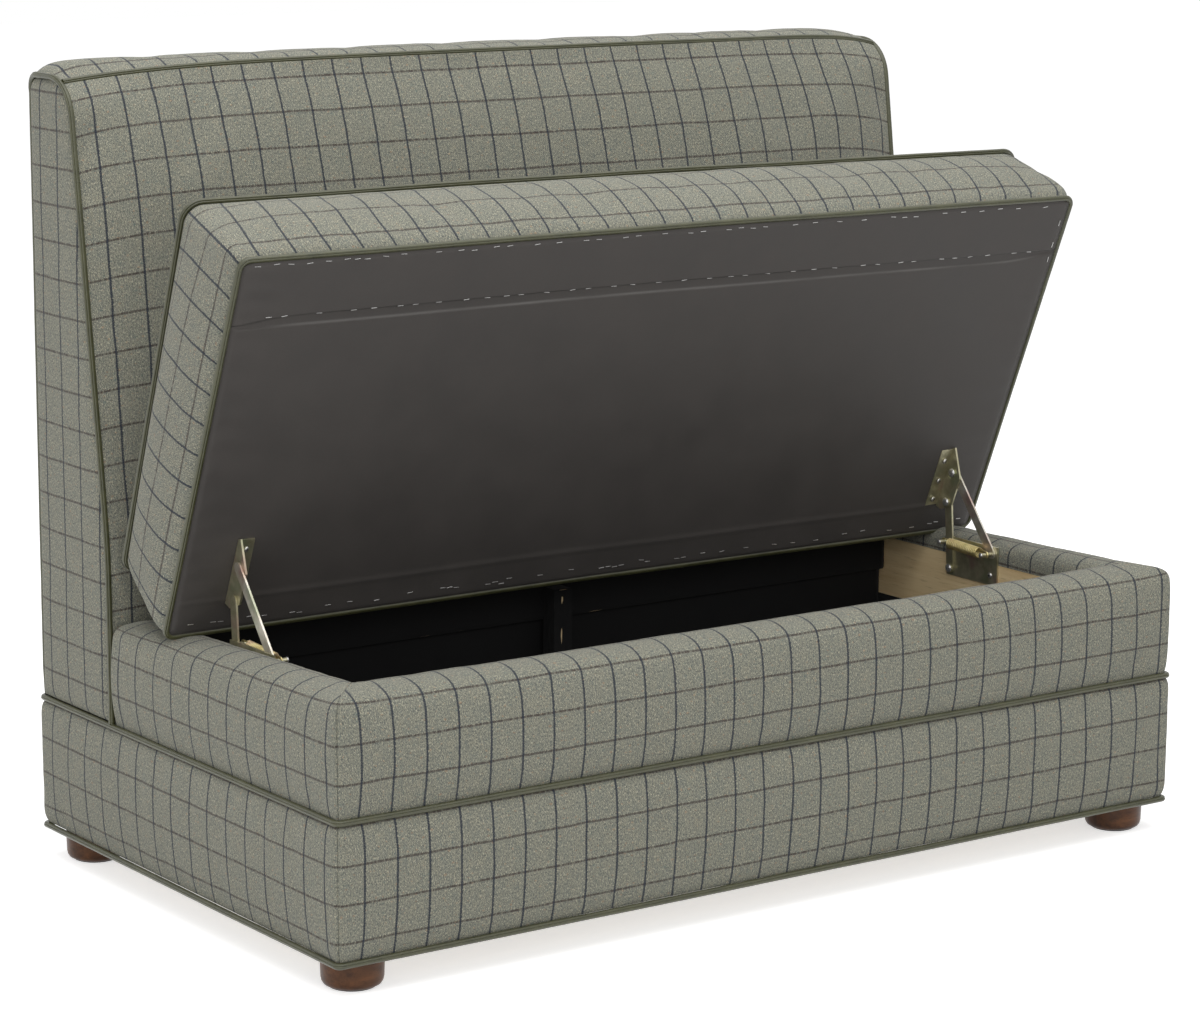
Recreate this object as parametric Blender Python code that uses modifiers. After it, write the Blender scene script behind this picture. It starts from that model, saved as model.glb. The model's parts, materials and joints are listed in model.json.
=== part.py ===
"""Storage banquette: an upholstered bench whose sprung seat lifts off a lined compartment.

Metres, +Z up, the front faces -Y, and the origin is on the floor under the middle.
The seat is modelled open, as it stands on its hinges.
"""
import math

import bmesh
import bpy
from mathutils import Matrix, Vector

# Overall sizes
WIDTH = 1.2192
DEPTH = 0.6912
CLEARANCE = 0.0003

# Feet
FOOT_HEIGHT = 0.0385
FOOT_RADIUS = 0.0345
FOOT_TAPER = 0.0015
FOOT_EDGE = 0.005
FOOT_INSET = 0.0465
FOOT_STEPS = 20

# Piping cord, sewn into the seams a little inside the nominal faces
PIPING_RADIUS = 0.0042
PIPING_INSET = 0.0015
PIPING_CORNER = 0.012

# Base and seat box: each level stands on the one below it
LOWER_PIPING_RISE = 0.0045
BASE_BAND_HEIGHT = 0.1560
SEAT_BOX_HEIGHT = 0.1345
FLOOR_THICKNESS = 0.018
BOARD_THICKNESS = 0.038
PADDING = 0.0316
BAND_BULGE = 0.0015
BAND_DRAW_IN = 0.0045
RIM_PADDING = 0.0245
RIM_REAR_DROP = 0.013
RIM_SHOULDER_WIDTH = 0.036
RIM_SHOULDER_HEIGHT = 0.032
RIM_INNER_HEIGHT = 0.020
WRAP_DROP = 0.006
WRAP_THICKNESS = 0.0017

# Compartment, its rear rail set in front of the back and below the rim
REAR_RAIL_GAP = 0.007
REAR_RAIL_THICKNESS = 0.022
REAR_RAIL_HEIGHT = 0.058
REAR_RAIL_BELOW_RIM = 0.0155
REAR_PANEL_SET_BACK = 0.014
REAR_PANEL_THICKNESS = 0.006
LINER_THICKNESS = 0.0015
LINER_BELOW_RIM = 0.1075
POST_WIDTH = 0.025
POST_DEPTH = 0.024
POST_BELOW_RIM = 0.0335

# Back
BACK_HEIGHT = 0.7565
BACK_DEPTH = 0.1816
BACK_KNEE_ABOVE_RIM = 0.0765
BACK_KNEE_BLEND = 0.040
BACK_RAKE = math.radians(7.8)
BACK_CORNER = 0.030
BACK_REAR_CORNER = 0.010
BACK_CROWN = 0.020
BACK_TOP_CROWN = 0.010
BACK_CROWN_ABOVE_KNEE = 0.060
FRONT_PAD = 0.040
TOP_PAD = 0.022
SIDE_PANEL = 0.012
BACK_PANEL = 0.012
GABLE_THICKNESS = 0.038
BACK_RAIL_HEIGHT = 0.050
BACK_RAIL_DEPTH = 0.038
MIDDLE_RAIL_ABOVE_KNEE = 0.090
BOTTOM_RAIL_HEIGHT = 0.100
STILE_WIDTH = 0.038

# Lid, measured along its depth from the rear piping and up from its underside
OPEN_ANGLE = math.radians(67.6)
LID_SIDE_INSET = 0.0061
LID_OVERHANG = 0.0142
LID_REAR_GAP = 0.0318
LID_FRONT_HEIGHT = 0.137
LID_REAR_HEIGHT = 0.116
LID_REAR_EASE = 0.020
LID_CORNER = 0.022
LID_CROWN = 0.018
LID_BULGE = 0.009
LID_REAR_BULGE = 0.003
LID_DRAW_IN = 0.0055
LID_PIPING_LEVEL = 0.003
LID_WALL = 0.016
DUST_COVER_LEVEL = 0.0005
DUST_COVER_THICKNESS = 0.0017
LID_RAIL_WIDTH = 0.060
LID_RAIL_HEIGHT = 0.022
LID_DECK_THICKNESS = 0.0045

# Hinges: pivots as distances in front of the back and below the rim, or along the lid and below it
REAR_PIVOT_FORWARD = 0.1705
REAR_PIVOT_DOWN = 0.0481
FRONT_PIVOT_FORWARD = 0.2509
FRONT_PIVOT_DOWN = 0.0160
LID_REAR_PIVOT_DEPTH = 0.0560
LID_REAR_PIVOT_DOWN = 0.0195
LID_FRONT_PIVOT_DEPTH = 0.0973
LID_FRONT_PIVOT_DOWN = 0.0142
LID_EDGE_FORWARD = 0.1252
LID_EDGE_DOWN = 0.0050
STEEL = 0.0025
ARM_WIDTH = 0.013
PIN_RADIUS = 0.004
PIN_HEAD_RADIUS = 0.0062
PIN_HEAD = 0.0018
PLATE_MARGIN = 0.0095
BRACKET_BEHIND_PIN = 0.016
BRACKET_LENGTH = 0.087
BRACKET_FLANGE = 0.020
BRACKET_BELOW_PIN = 0.010
BRACKET_HEEL = 0.012
SPRING_PIN_DISTANCE = 0.036
SPRING_PIN_RADIUS = 0.0030
SPRING_PIN_LENGTH = 0.0185
SPRING_OFFSET = 0.0085
SPRING_RADIUS = 0.0060
SPRING_WIRE = 0.0009
SPRING_CURLS = 18
SPRING_POINTS = 8
SPRING_HOOK = 0.012

# Worked out from the sizes above
HALF_W = WIDTH / 2
HALF_D = DEPTH / 2
LOWER_PIPING_Z = FOOT_HEIGHT + LOWER_PIPING_RISE
UPPER_PIPING_Z = LOWER_PIPING_Z + BASE_BAND_HEIGHT
RIM_Z = UPPER_PIPING_Z + SEAT_BOX_HEIGHT
RAIL_TOP_Z = RIM_Z - RIM_PADDING
FLOOR_BOTTOM = FOOT_HEIGHT + CLEARANCE
FLOOR_TOP = FLOOR_BOTTOM + FLOOR_THICKNESS
WOOD_X = HALF_W - PADDING
WOOD_Y = HALF_D - PADDING
INNER_X = WOOD_X - BOARD_THICKNESS
INNER_Y = WOOD_Y - BOARD_THICKNESS
SEAM_OFFSET = PIPING_RADIUS + CLEARANCE
EDGE_INSET = PIPING_INSET + SEAM_OFFSET
PAD_END_X = HALF_W - SIDE_PANEL - CLEARANCE
GABLE_X = PAD_END_X - GABLE_THICKNESS
BACK_FRONT_Y = HALF_D - BACK_DEPTH
BACK_TOP_Z = UPPER_PIPING_Z + BACK_HEIGHT
BACK_KNEE_Z = RIM_Z + BACK_KNEE_ABOVE_RIM
BACK_CROWN_START_Z = BACK_KNEE_Z + BACK_CROWN_ABOVE_KNEE
MIDDLE_RAIL_Z = BACK_KNEE_Z + MIDDLE_RAIL_ABOVE_KNEE
SEAT_REAR_Y = BACK_FRONT_Y - SEAM_OFFSET
REAR_RAIL_Y = BACK_FRONT_Y - REAR_RAIL_GAP - REAR_RAIL_THICKNESS
REAR_RAIL_TOP_Z = RIM_Z - REAR_RAIL_BELOW_RIM
REAR_RAIL_BOTTOM_Z = REAR_RAIL_TOP_Z - REAR_RAIL_HEIGHT
LINER_REAR_Y = REAR_RAIL_Y + REAR_PANEL_SET_BACK
LINER_TOP_Z = RIM_Z - LINER_BELOW_RIM
POST_TOP_Z = RIM_Z - POST_BELOW_RIM
LID_HALF_WIDTH = HALF_W - LID_SIDE_INSET
LID_DEPTH = DEPTH - BACK_DEPTH - LID_REAR_GAP + LID_OVERHANG
REAR_PIVOT = (BACK_FRONT_Y - REAR_PIVOT_FORWARD, RIM_Z - REAR_PIVOT_DOWN)
FRONT_PIVOT = (BACK_FRONT_Y - FRONT_PIVOT_FORWARD, RIM_Z - FRONT_PIVOT_DOWN)
LID_REAR_PIVOT = (LID_REAR_PIVOT_DEPTH, -LID_REAR_PIVOT_DOWN)
LID_FRONT_PIVOT = (LID_FRONT_PIVOT_DEPTH, -LID_FRONT_PIVOT_DOWN)
LID_EDGE_Y = BACK_FRONT_Y - LID_EDGE_FORWARD
LID_EDGE_Z = RIM_Z - LID_EDGE_DOWN


def remove_everything():
    for old in list(bpy.data.objects):
        bpy.data.objects.remove(old, do_unlink=True)


def new_collection(name):
    group = bpy.data.collections.new(name)
    bpy.context.scene.collection.children.link(group)
    return group


def material(name, colour, roughness, metallic=0.0):
    finish = bpy.data.materials.new(name)
    finish.use_nodes = True
    shader = finish.node_tree.nodes["Principled BSDF"]
    shader.inputs["Base Color"].default_value = (*colour, 1.0)
    shader.inputs["Roughness"].default_value = roughness
    shader.inputs["Metallic"].default_value = metallic
    return finish


remove_everything()
PARTS = new_collection("storage_banquette")
CUTTERS = new_collection("cutters")
FABRIC = material("check_tweed", (0.27, 0.27, 0.21), 0.9)
LEATHER = material("olive_leather", (0.11, 0.11, 0.06), 0.45)
WOOD = material("poplar", (0.55, 0.40, 0.24), 0.7)
MAHOGANY = material("mahogany_stain", (0.06, 0.018, 0.01), 0.35)
BLACK_CLOTH = material("black_cloth", (0.012, 0.012, 0.013), 0.95)
DUST_CLOTH = material("charcoal_cloth", (0.055, 0.052, 0.05), 0.95)
ZINC = material("yellow_zinc_steel", (0.62, 0.50, 0.26), 0.3, 1.0)


def add(name, data, finish, parent=None, location=(0, 0, 0)):
    """A part that carries its own material, hung on a pivot where it moves."""
    part = bpy.data.objects.new(name, data)
    data.materials.clear()
    data.materials.append(finish)
    part.location = location
    part.parent = parent
    PARTS.objects.link(part)
    return part


def mesh_from(name, bm):
    bmesh.ops.recalc_face_normals(bm, faces=bm.faces)
    data = bpy.data.meshes.new(name)
    bm.to_mesh(data)
    bm.free()
    return data


def box(name, low, high, finish, parent=None):
    bm = bmesh.new()
    low, high = Vector(low), Vector(high)
    size = high - low
    place = Matrix.Translation((low + high) / 2) @ Matrix.Diagonal((*size, 1))
    bmesh.ops.create_cube(bm, size=1.0, matrix=place)
    return add(name, mesh_from(name, bm), finish, parent)


def shaped_block(name, cuts, place, finish, parent=None):
    """A unit block, cut across at the given shares of each side, whose points are moved by place."""
    bm = bmesh.new()
    bmesh.ops.create_cube(bm, size=1.0, matrix=Matrix.Translation((0.5, 0.5, 0.5)))
    for axis, shares in enumerate(cuts):
        normal = Vector((axis == 0, axis == 1, axis == 2))
        for share in shares:
            everything = bm.verts[:] + bm.edges[:] + bm.faces[:]
            bmesh.ops.bisect_plane(bm, geom=everything, plane_co=normal * share, plane_no=normal)
    for vert in bm.verts:
        vert.co = Vector(place(*vert.co))
    if bm.calc_volume(signed=True) < 0:
        bmesh.ops.reverse_faces(bm, faces=bm.faces)
    data = bpy.data.meshes.new(name)
    bm.to_mesh(data)
    bm.free()
    data.shade_smooth()
    data.set_sharp_from_angle(angle=math.radians(40))
    return add(name, data, finish, parent)


def even(count):
    return [step / count for step in range(1, count)]


def outline_curve(name, loops, thickness):
    """A flat plate from closed outlines in the curve's own plane, the first one outside."""
    curve = bpy.data.curves.new(name, "CURVE")
    curve.dimensions = "2D"
    curve.fill_mode = "BOTH"
    curve.extrude = thickness / 2
    for loop in loops:
        spline = curve.splines.new("POLY")
        spline.points.add(len(loop) - 1)
        for point, (a, b) in zip(spline.points, loop):
            point.co = (a, b, 0, 1)
        spline.use_cyclic_u = True
    return curve


# A plate's plane is turned so that its outline lies in Y and Z, in X and Z, or in X and Y
ACROSS = Matrix(((0, 0, 1), (1, 0, 0), (0, 1, 0))).to_4x4()
ALONG = Matrix(((1, 0, 0), (0, 0, -1), (0, 1, 0))).to_4x4()
FLAT = Matrix.Identity(4)


def plate(name, loops, thickness, finish, turn=ACROSS, location=(0, 0, 0), parent=None):
    """An extruded outline, made a welded mesh so that pins can be joined to it."""
    curve = outline_curve(name, loops, thickness)
    blank = bpy.data.objects.new(name + "_outline", curve)
    PARTS.objects.link(blank)
    data = bpy.data.meshes.new_from_object(blank.evaluated_get(bpy.context.evaluated_depsgraph_get()))
    bpy.data.objects.remove(blank)
    bm = bmesh.new()
    bm.from_mesh(data)
    bmesh.ops.remove_doubles(bm, verts=bm.verts, dist=0.00001)
    bm.transform(turn)
    bm.to_mesh(data)
    bm.free()
    data.name = name
    return add(name, data, finish, parent, location)


def circle(centre, radius, count=16):
    return [(centre[0] + radius * math.cos(math.tau * k / count),
             centre[1] + radius * math.sin(math.tau * k / count)) for k in range(count)]


def bar(start, end, width, count=6):
    """A bar's outline with round ends about its two centres."""
    along = Vector(end) - Vector(start)
    turn = math.atan2(along.y, along.x)
    points = []
    for centre, first in ((Vector(end), turn - math.pi / 2), (Vector(start), turn + math.pi / 2)):
        for k in range(count + 1):
            angle = first + math.pi * k / count
            points.append((centre.x + width / 2 * math.cos(angle), centre.y + width / 2 * math.sin(angle)))
    return points


def tube(name, points, radius, finish, cyclic=False, resolution=2, parent=None):
    curve = bpy.data.curves.new(name, "CURVE")
    curve.dimensions = "3D"
    curve.bevel_depth = radius
    curve.bevel_resolution = resolution
    curve.use_fill_caps = True
    spline = curve.splines.new("POLY")
    spline.points.add(len(points) - 1)
    for point, place in zip(spline.points, points):
        point.co = (*place, 1)
    spline.use_cyclic_u = cyclic
    return add(name, curve, finish, parent)


def join_pin(part, radius, x_from, x_to, y, z):
    """Join a round pin along X to a part; y and z are in the part's own space."""
    bm = bmesh.new()
    middle = Matrix.Translation(((x_from + x_to) / 2, y, z)) @ Matrix.Rotation(math.pi / 2, 4, "Y")
    bmesh.ops.create_cone(bm, cap_ends=True, segments=16, radius1=radius, radius2=radius,
                          depth=abs(x_to - x_from), matrix=middle)
    name = f"{part.name}_pin_{len(part.modifiers)}"
    pin = bpy.data.objects.new(name, mesh_from(name, bm))
    pin.location = part.location
    pin.parent = part.parent
    join(part, pin)


def join(part, other):
    other.hide_render = True
    other.display_type = "WIRE"
    for group in other.users_collection:
        group.objects.unlink(other)
    CUTTERS.objects.link(other)
    union = part.modifiers.new(other.name, "BOOLEAN")
    union.operation = "UNION"
    union.object = other


def rounded_loop(half_x, low_y, high_y, radius, z, steps=4):
    """A rectangle with round corners, as points on one level."""
    points = []
    corners = ((half_x, high_y, 0), (-half_x, high_y, 1), (-half_x, low_y, 2), (half_x, low_y, 3))
    for x, y, quarter in corners:
        centre_x = x - math.copysign(radius, x)
        centre_y = y - radius if quarter < 2 else y + radius
        for k in range(steps + 1):
            angle = math.pi / 2 * (quarter + k / steps)
            points.append((centre_x + radius * math.cos(angle), centre_y + radius * math.sin(angle), z))
    return points


# Feet: turned blocks with an eased lower edge
def foot(name, x, y):
    profile = [(0.0, FOOT_HEIGHT), (FOOT_RADIUS, FOOT_HEIGHT)]
    low_radius = FOOT_RADIUS - FOOT_TAPER
    for k in range(4):
        angle = math.pi / 2 * k / 3
        profile.append((low_radius - FOOT_EDGE * (1 - math.cos(angle)), FOOT_EDGE * (1 - math.sin(angle))))
    profile.append((0.0, 0.0))
    bm = bmesh.new()
    verts = [bm.verts.new((r, 0, z)) for r, z in profile]
    for first, second in zip(verts, verts[1:]):
        bm.edges.new((first, second))
    data = bpy.data.meshes.new(name)
    bm.to_mesh(data)
    bm.free()
    part = add(name, data, MAHOGANY, location=(x, y, 0))
    turn = part.modifiers.new("turned", "SCREW")
    turn.steps = FOOT_STEPS
    turn.render_steps = FOOT_STEPS
    turn.use_merge_vertices = True
    turn.merge_threshold = 0.0001


for side, sign_x in (("left", -1), ("right", 1)):
    for end, sign_y in (("front", -1), ("rear", 1)):
        foot(f"foot_{end}_{side}", sign_x * (HALF_W - FOOT_INSET), sign_y * (HALF_D - FOOT_INSET))

# Base frame: boards standing on the floor panel
box("floor_panel", (-WOOD_X, -WOOD_Y, FLOOR_BOTTOM), (WOOD_X, WOOD_Y, FLOOR_TOP), WOOD)
BOARD_LOW = FLOOR_TOP + CLEARANCE
for end, sign in (("front", -1), ("rear", 1)):
    near, far = sorted((sign * INNER_Y, sign * WOOD_Y))
    box(f"base_board_{end}", (-WOOD_X, near, BOARD_LOW), (WOOD_X, far, UPPER_PIPING_Z), WOOD)
for side, sign in (("left", -1), ("right", 1)):
    near, far = sorted((sign * INNER_X, sign * WOOD_X))
    end_y = INNER_Y - CLEARANCE
    box(f"base_board_{side}", (near, -end_y, BOARD_LOW), (far, end_y, UPPER_PIPING_Z), WOOD)


# Padded covers follow a section of (distance in from the nominal face, height), outside and against the wood
def band_section(low, high):
    middle = (low + high) / 2
    quarter = (high - low) / 4
    outside = [(BAND_DRAW_IN, low), (0.0, middle - quarter), (-BAND_BULGE, middle), (0.0, middle + quarter),
               (BAND_DRAW_IN, high)]
    inside = [(PADDING - CLEARANCE, height) for _, height in outside]
    return outside, inside


def rim_section():
    """The padding climbs the rail's face, rolls over its top and turns down inside."""
    low = UPPER_PIPING_Z + SEAM_OFFSET
    shoulder = RIM_Z - RIM_SHOULDER_HEIGHT
    inner = PADDING + BOARD_THICKNESS - CLEARANCE
    wrap = inner - WRAP_THICKNESS
    seat = RAIL_TOP_Z + CLEARANCE
    face = PADDING - CLEARANCE
    climb = shoulder - low
    outside = [(BAND_DRAW_IN, low), (0.0, low + climb * 0.3), (-BAND_BULGE, low + climb * 0.65)]
    inside = [(face, height) for _, height in outside]
    for k in range(6):
        angle = math.pi / 2 * k / 5
        across = RIM_SHOULDER_WIDTH * (1 - math.cos(angle))
        height = shoulder + RIM_SHOULDER_HEIGHT * math.sin(angle)
        outside.append((across, height))
        inside.append((face, min(height, seat)))
    for k in range(1, 5):
        angle = math.pi / 2 * k / 4
        across = RIM_SHOULDER_WIDTH + (inner - RIM_SHOULDER_WIDTH) * math.sin(angle)
        outside.append((across, RIM_Z - RIM_INNER_HEIGHT * (1 - math.cos(angle))))
        inside.append((face + (wrap - face) * k / 4, seat))
    outside.append((inner, RAIL_TOP_Z - WRAP_DROP))
    inside.append((wrap, RAIL_TOP_Z - WRAP_DROP))
    return outside, inside


def swept_cover(name, section, place, length_cuts=8):
    """A cover of the given section; place turns (share of length, distance in, height) into a point."""
    outside, inside = section
    last = len(outside) - 1

    def point(along, through, around):
        index = round(around * last)
        inward, height = (outside if through < 0.5 else inside)[index]
        return place(along, inward, height)

    shaped_block(name, (even(length_cuts), (), even(last)), point, FABRIC)


def front_cover(sign):
    def place(along, inward, height):
        reach = HALF_W - inward - CLEARANCE
        return (reach * (2 * along - 1), sign * (HALF_D - inward), height)
    return place


def side_cover(sign, rear_y=None, drop=0.0):
    def place(along, inward, height):
        front = -HALF_D + inward + CLEARANCE
        rear = -front if rear_y is None else rear_y
        spare = max(0.0, height - RAIL_TOP_Z - CLEARANCE)
        lowered = height - spare * along * drop / (RIM_Z - RAIL_TOP_Z)
        return (sign * (HALF_W - inward), front + (rear - front) * along, lowered)
    return place


LOWER_BAND = band_section(LOWER_PIPING_Z + SEAM_OFFSET, UPPER_PIPING_Z - SEAM_OFFSET)
swept_cover("base_band_front", LOWER_BAND, front_cover(-1))
swept_cover("base_band_rear", LOWER_BAND, front_cover(1))
swept_cover("base_band_left", LOWER_BAND, side_cover(-1))
swept_cover("base_band_right", LOWER_BAND, side_cover(1))
RIM = rim_section()
swept_cover("seat_box_cover_front", RIM, front_cover(-1))
swept_cover("seat_box_cover_left", RIM, side_cover(-1, SEAT_REAR_Y - CLEARANCE, RIM_REAR_DROP))
swept_cover("seat_box_cover_right", RIM, side_cover(1, SEAT_REAR_Y - CLEARANCE, RIM_REAR_DROP))

for label, level in (("lower", LOWER_PIPING_Z), ("upper", UPPER_PIPING_Z)):
    reach_y = HALF_D - PIPING_INSET
    loop = rounded_loop(HALF_W - PIPING_INSET, -reach_y, reach_y, PIPING_CORNER, level)
    tube(f"base_piping_{label}", loop, PIPING_RADIUS, LEATHER, cyclic=True)

# Seat box rails, rebated inside at the top for the turned-in cover
RAIL_LOW = UPPER_PIPING_Z + CLEARANCE
REBATE = WRAP_THICKNESS + 2 * CLEARANCE


def rail_section(outer, inner):
    """The rail's outline from its outer face to its inner face, with the rebate at the inner top edge."""
    step = math.copysign(REBATE, outer - inner)
    rebate_z = RAIL_TOP_Z - WRAP_DROP - CLEARANCE
    return [(outer, RAIL_LOW), (inner, RAIL_LOW), (inner, rebate_z), (inner + step, rebate_z),
            (inner + step, RAIL_TOP_Z), (outer, RAIL_TOP_Z)]


plate("seat_rail_front", [rail_section(-WOOD_Y, -INNER_Y)], 2 * WOOD_X, WOOD)
SIDE_RAIL_FRONT = -INNER_Y + CLEARANCE
SIDE_RAIL_REAR = REAR_RAIL_Y + REAR_RAIL_THICKNESS
for side, sign in (("left", -1), ("right", 1)):
    middle_y = (SIDE_RAIL_FRONT + SIDE_RAIL_REAR) / 2
    section = rail_section(sign * WOOD_X, sign * INNER_X)
    length = SIDE_RAIL_REAR - SIDE_RAIL_FRONT
    plate(f"seat_rail_{side}", [section], length, WOOD, ALONG, (0, middle_y, 0))

# Compartment: rear rail, panel under it, centre post and the cloth liner
REACH = INNER_X - CLEARANCE
box("seat_rail_rear", (-REACH, REAR_RAIL_Y, REAR_RAIL_BOTTOM_Z),
    (REACH, REAR_RAIL_Y + REAR_RAIL_THICKNESS, REAR_RAIL_TOP_Z), WOOD)
box("compartment_rear_panel", (-REACH, LINER_REAR_Y, BOARD_LOW),
    (REACH, LINER_REAR_Y + REAR_PANEL_THICKNESS, REAR_RAIL_BOTTOM_Z - CLEARANCE), WOOD)
LINER_FLOOR = BOARD_LOW + LINER_THICKNESS
box("centre_post", (-POST_WIDTH / 2, REAR_RAIL_Y - CLEARANCE - POST_DEPTH, LINER_FLOOR + CLEARANCE),
    (POST_WIDTH / 2, REAR_RAIL_Y - CLEARANCE, POST_TOP_Z), WOOD)


def liner():
    """An open cloth tray: four walls and a floor, thickened inwards."""
    bm = bmesh.new()
    low = Vector((-REACH, -INNER_Y + CLEARANCE, BOARD_LOW))
    high = Vector((REACH, LINER_REAR_Y - CLEARANCE, LINER_TOP_Z))
    scale = Matrix.Diagonal((*(high - low), 1))
    bmesh.ops.create_cube(bm, size=1.0, matrix=Matrix.Translation((low + high) / 2) @ scale)
    top = max(bm.faces, key=lambda face: face.calc_center_median().z)
    bmesh.ops.delete(bm, geom=[top], context="FACES_ONLY")
    part = add("compartment_liner", mesh_from("compartment_liner", bm), BLACK_CLOTH)
    shell = part.modifiers.new("cloth", "SOLIDIFY")
    shell.thickness = LINER_THICKNESS
    shell.offset = -1
    shell.use_even_offset = True


liner()


# Back: the side outline as (y, z), moved in from the nominal faces by the given distances
def back_line(z):
    """The raked front edge: upright by the seat, leaning back above the knee."""
    rise = z - BACK_KNEE_Z
    return BACK_FRONT_Y + math.tan(BACK_RAKE) * (rise + math.hypot(rise, BACK_KNEE_BLEND)) / 2


def corner_arc(front, top, steps=5):
    """The round front top corner, from the raked edge to the top."""
    radius = max(BACK_CORNER - top, 0.002)
    centre_z = BACK_TOP_Z - top - radius
    centre_y = back_line(centre_z) + front + radius / math.cos(BACK_RAKE)
    first = math.pi - BACK_RAKE
    points = []
    for k in range(steps + 1):
        angle = first + (math.pi / 2 - first) * k / steps
        points.append((centre_y + radius * math.cos(angle), centre_z + radius * math.sin(angle)))
    return points


def front_edge(front, low, high, steps=4):
    """Points up the front edge, closest together round the knee."""
    heights = [low]
    for share in (-2, -1, 0, 1, 2, 4):
        heights.append(BACK_KNEE_Z + BACK_KNEE_BLEND * share)
    straight = heights[-1]
    for k in range(1, steps):
        heights.append(straight + (high - straight) * k / steps)
    return [(back_line(z) + front, z) for z in heights]


def back_outline(front, top, rear, low):
    """Up the front edge, over the two top corners and down to the rear's lower end."""
    arc = corner_arc(front, top)
    radius = max(BACK_REAR_CORNER - rear, 0.001)
    centre = (HALF_D - rear - radius, BACK_TOP_Z - top - radius)
    points = front_edge(front, low, arc[0][1]) + arc
    for k in range(4):
        angle = math.pi / 2 * (1 - k / 3)
        points.append((centre[0] + radius * math.cos(angle), centre[1] + radius * math.sin(angle)))
    points.append((HALF_D - rear, low))
    return points


SIDE_LOW = UPPER_PIPING_Z + SEAM_OFFSET
PIPING_LOW = SIDE_LOW + PIPING_RADIUS
BACK_LOW = UPPER_PIPING_Z + CLEARANCE
side_outline = back_outline(EDGE_INSET, EDGE_INSET, EDGE_INSET, SIDE_LOW)
gable_outline = back_outline(FRONT_PAD + CLEARANCE, TOP_PAD + CLEARANCE, BACK_PANEL + CLEARANCE, BACK_LOW)
piping_path = back_outline(PIPING_INSET, PIPING_INSET, PIPING_INSET, PIPING_LOW)
for side, sign in (("left", -1), ("right", 1)):
    panel_x = sign * (HALF_W - SIDE_PANEL / 2)
    plate(f"back_side_panel_{side}", [side_outline], SIDE_PANEL, FABRIC, location=(panel_x, 0, 0))
    gable_x = sign * (PAD_END_X - GABLE_THICKNESS / 2 - CLEARANCE)
    plate(f"back_gable_{side}", [gable_outline], GABLE_THICKNESS, WOOD, location=(gable_x, 0, 0))
    path = [(sign * (HALF_W - PIPING_INSET), y, z) for y, z in piping_path]
    tube(f"back_piping_{side}", path, PIPING_RADIUS, LEATHER)

RAIL_REACH = GABLE_X - 2 * CLEARANCE
rail_top = BACK_TOP_Z - TOP_PAD - CLEARANCE
TOP_RAIL_LOW = rail_top - BACK_RAIL_HEIGHT
BEHIND_PAD = FRONT_PAD + CLEARANCE
top_front = back_line(rail_top) + BEHIND_PAD
box("back_rail_top", (-RAIL_REACH, top_front, TOP_RAIL_LOW),
    (RAIL_REACH, HALF_D - BACK_PANEL - CLEARANCE, rail_top), WOOD)
lower_rails = (("middle", MIDDLE_RAIL_Z, BACK_RAIL_HEIGHT), ("bottom", BACK_LOW, BOTTOM_RAIL_HEIGHT))
for label, low, height in lower_rails:
    front = back_line(low + height) + BEHIND_PAD
    far_corner = (RAIL_REACH, front + BACK_RAIL_DEPTH, low + height)
    box(f"back_rail_{label}", (-RAIL_REACH, front, low), far_corner, WOOD)
stile_front = back_line(TOP_RAIL_LOW) + BEHIND_PAD
box("back_stile_centre", (-STILE_WIDTH / 2, stile_front, BACK_LOW),
    (STILE_WIDTH / 2, stile_front + BACK_RAIL_DEPTH, TOP_RAIL_LOW - CLEARANCE), WOOD)
box("back_rear_panel", (-PAD_END_X, HALF_D - BACK_PANEL, SIDE_LOW),
    (PAD_END_X, HALF_D, BACK_TOP_Z - TOP_PAD - CLEARANCE), FABRIC)

# The padded front and top meet in a mitre under the piping of the front top edge
FULL_ARC = corner_arc(0.0, 0.0, 6)
BREAK = FULL_ARC[3]
MITRE = (back_line(BACK_TOP_Z - TOP_PAD) + FRONT_PAD, BACK_TOP_Z - TOP_PAD)


def across_back():
    """Shares of the back's width, closest together by the side seams."""
    return [0.02, 0.06, 0.12, 0.25, 0.375, 0.5, 0.625, 0.75, 0.88, 0.94, 0.98]


def swell(along):
    """From nothing at the side seams to full over most of the width."""
    return 1 - abs(2 * along - 1) ** 8


def front_path():
    outside = front_edge(0.0, BACK_LOW, FULL_ARC[0][1]) + FULL_ARC[:4]
    start = MITRE[1] - TOP_PAD
    inside = front_edge(FRONT_PAD, BACK_LOW, start)
    for k in range(4):
        z = start + TOP_PAD * k / 3
        inside.append((back_line(z) + FRONT_PAD, z))
    return outside, inside


def front_point(along, through, around):
    outside, inside = FRONT_PATH
    index = round(around * (len(outside) - 1))
    x = (2 * along - 1) * PAD_END_X
    if through > 0.5:
        y, z = inside[index]
        return (x, y, z - CLEARANCE * (index == len(inside) - 1))
    y, z = outside[index]
    above = max(0.0, min(1.0, (z - BACK_CROWN_START_Z) / (BREAK[1] - BACK_CROWN_START_Z)))
    rise = min(1.0, 2 * above)
    bulge = swell(along) * BACK_CROWN * rise * rise * (3 - 2 * rise) * (1 - above ** 9)
    lift = swell(along) * BACK_TOP_CROWN * above ** 6
    if index == len(outside) - 1:
        z -= SEAM_OFFSET
    return (x, y - bulge - lift * 0.5, z + lift)


def top_path():
    outside = FULL_ARC[3:]
    rear = HALF_D
    start = outside[-1][0]
    for k in range(1, 6):
        share = k / 5
        outside.append((start + (rear - start) * share, BACK_TOP_Z))
    last = len(outside) - 1
    inside = [(MITRE[0] + (rear - MITRE[0]) * k / last, MITRE[1]) for k in range(last + 1)]
    return outside, inside


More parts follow.
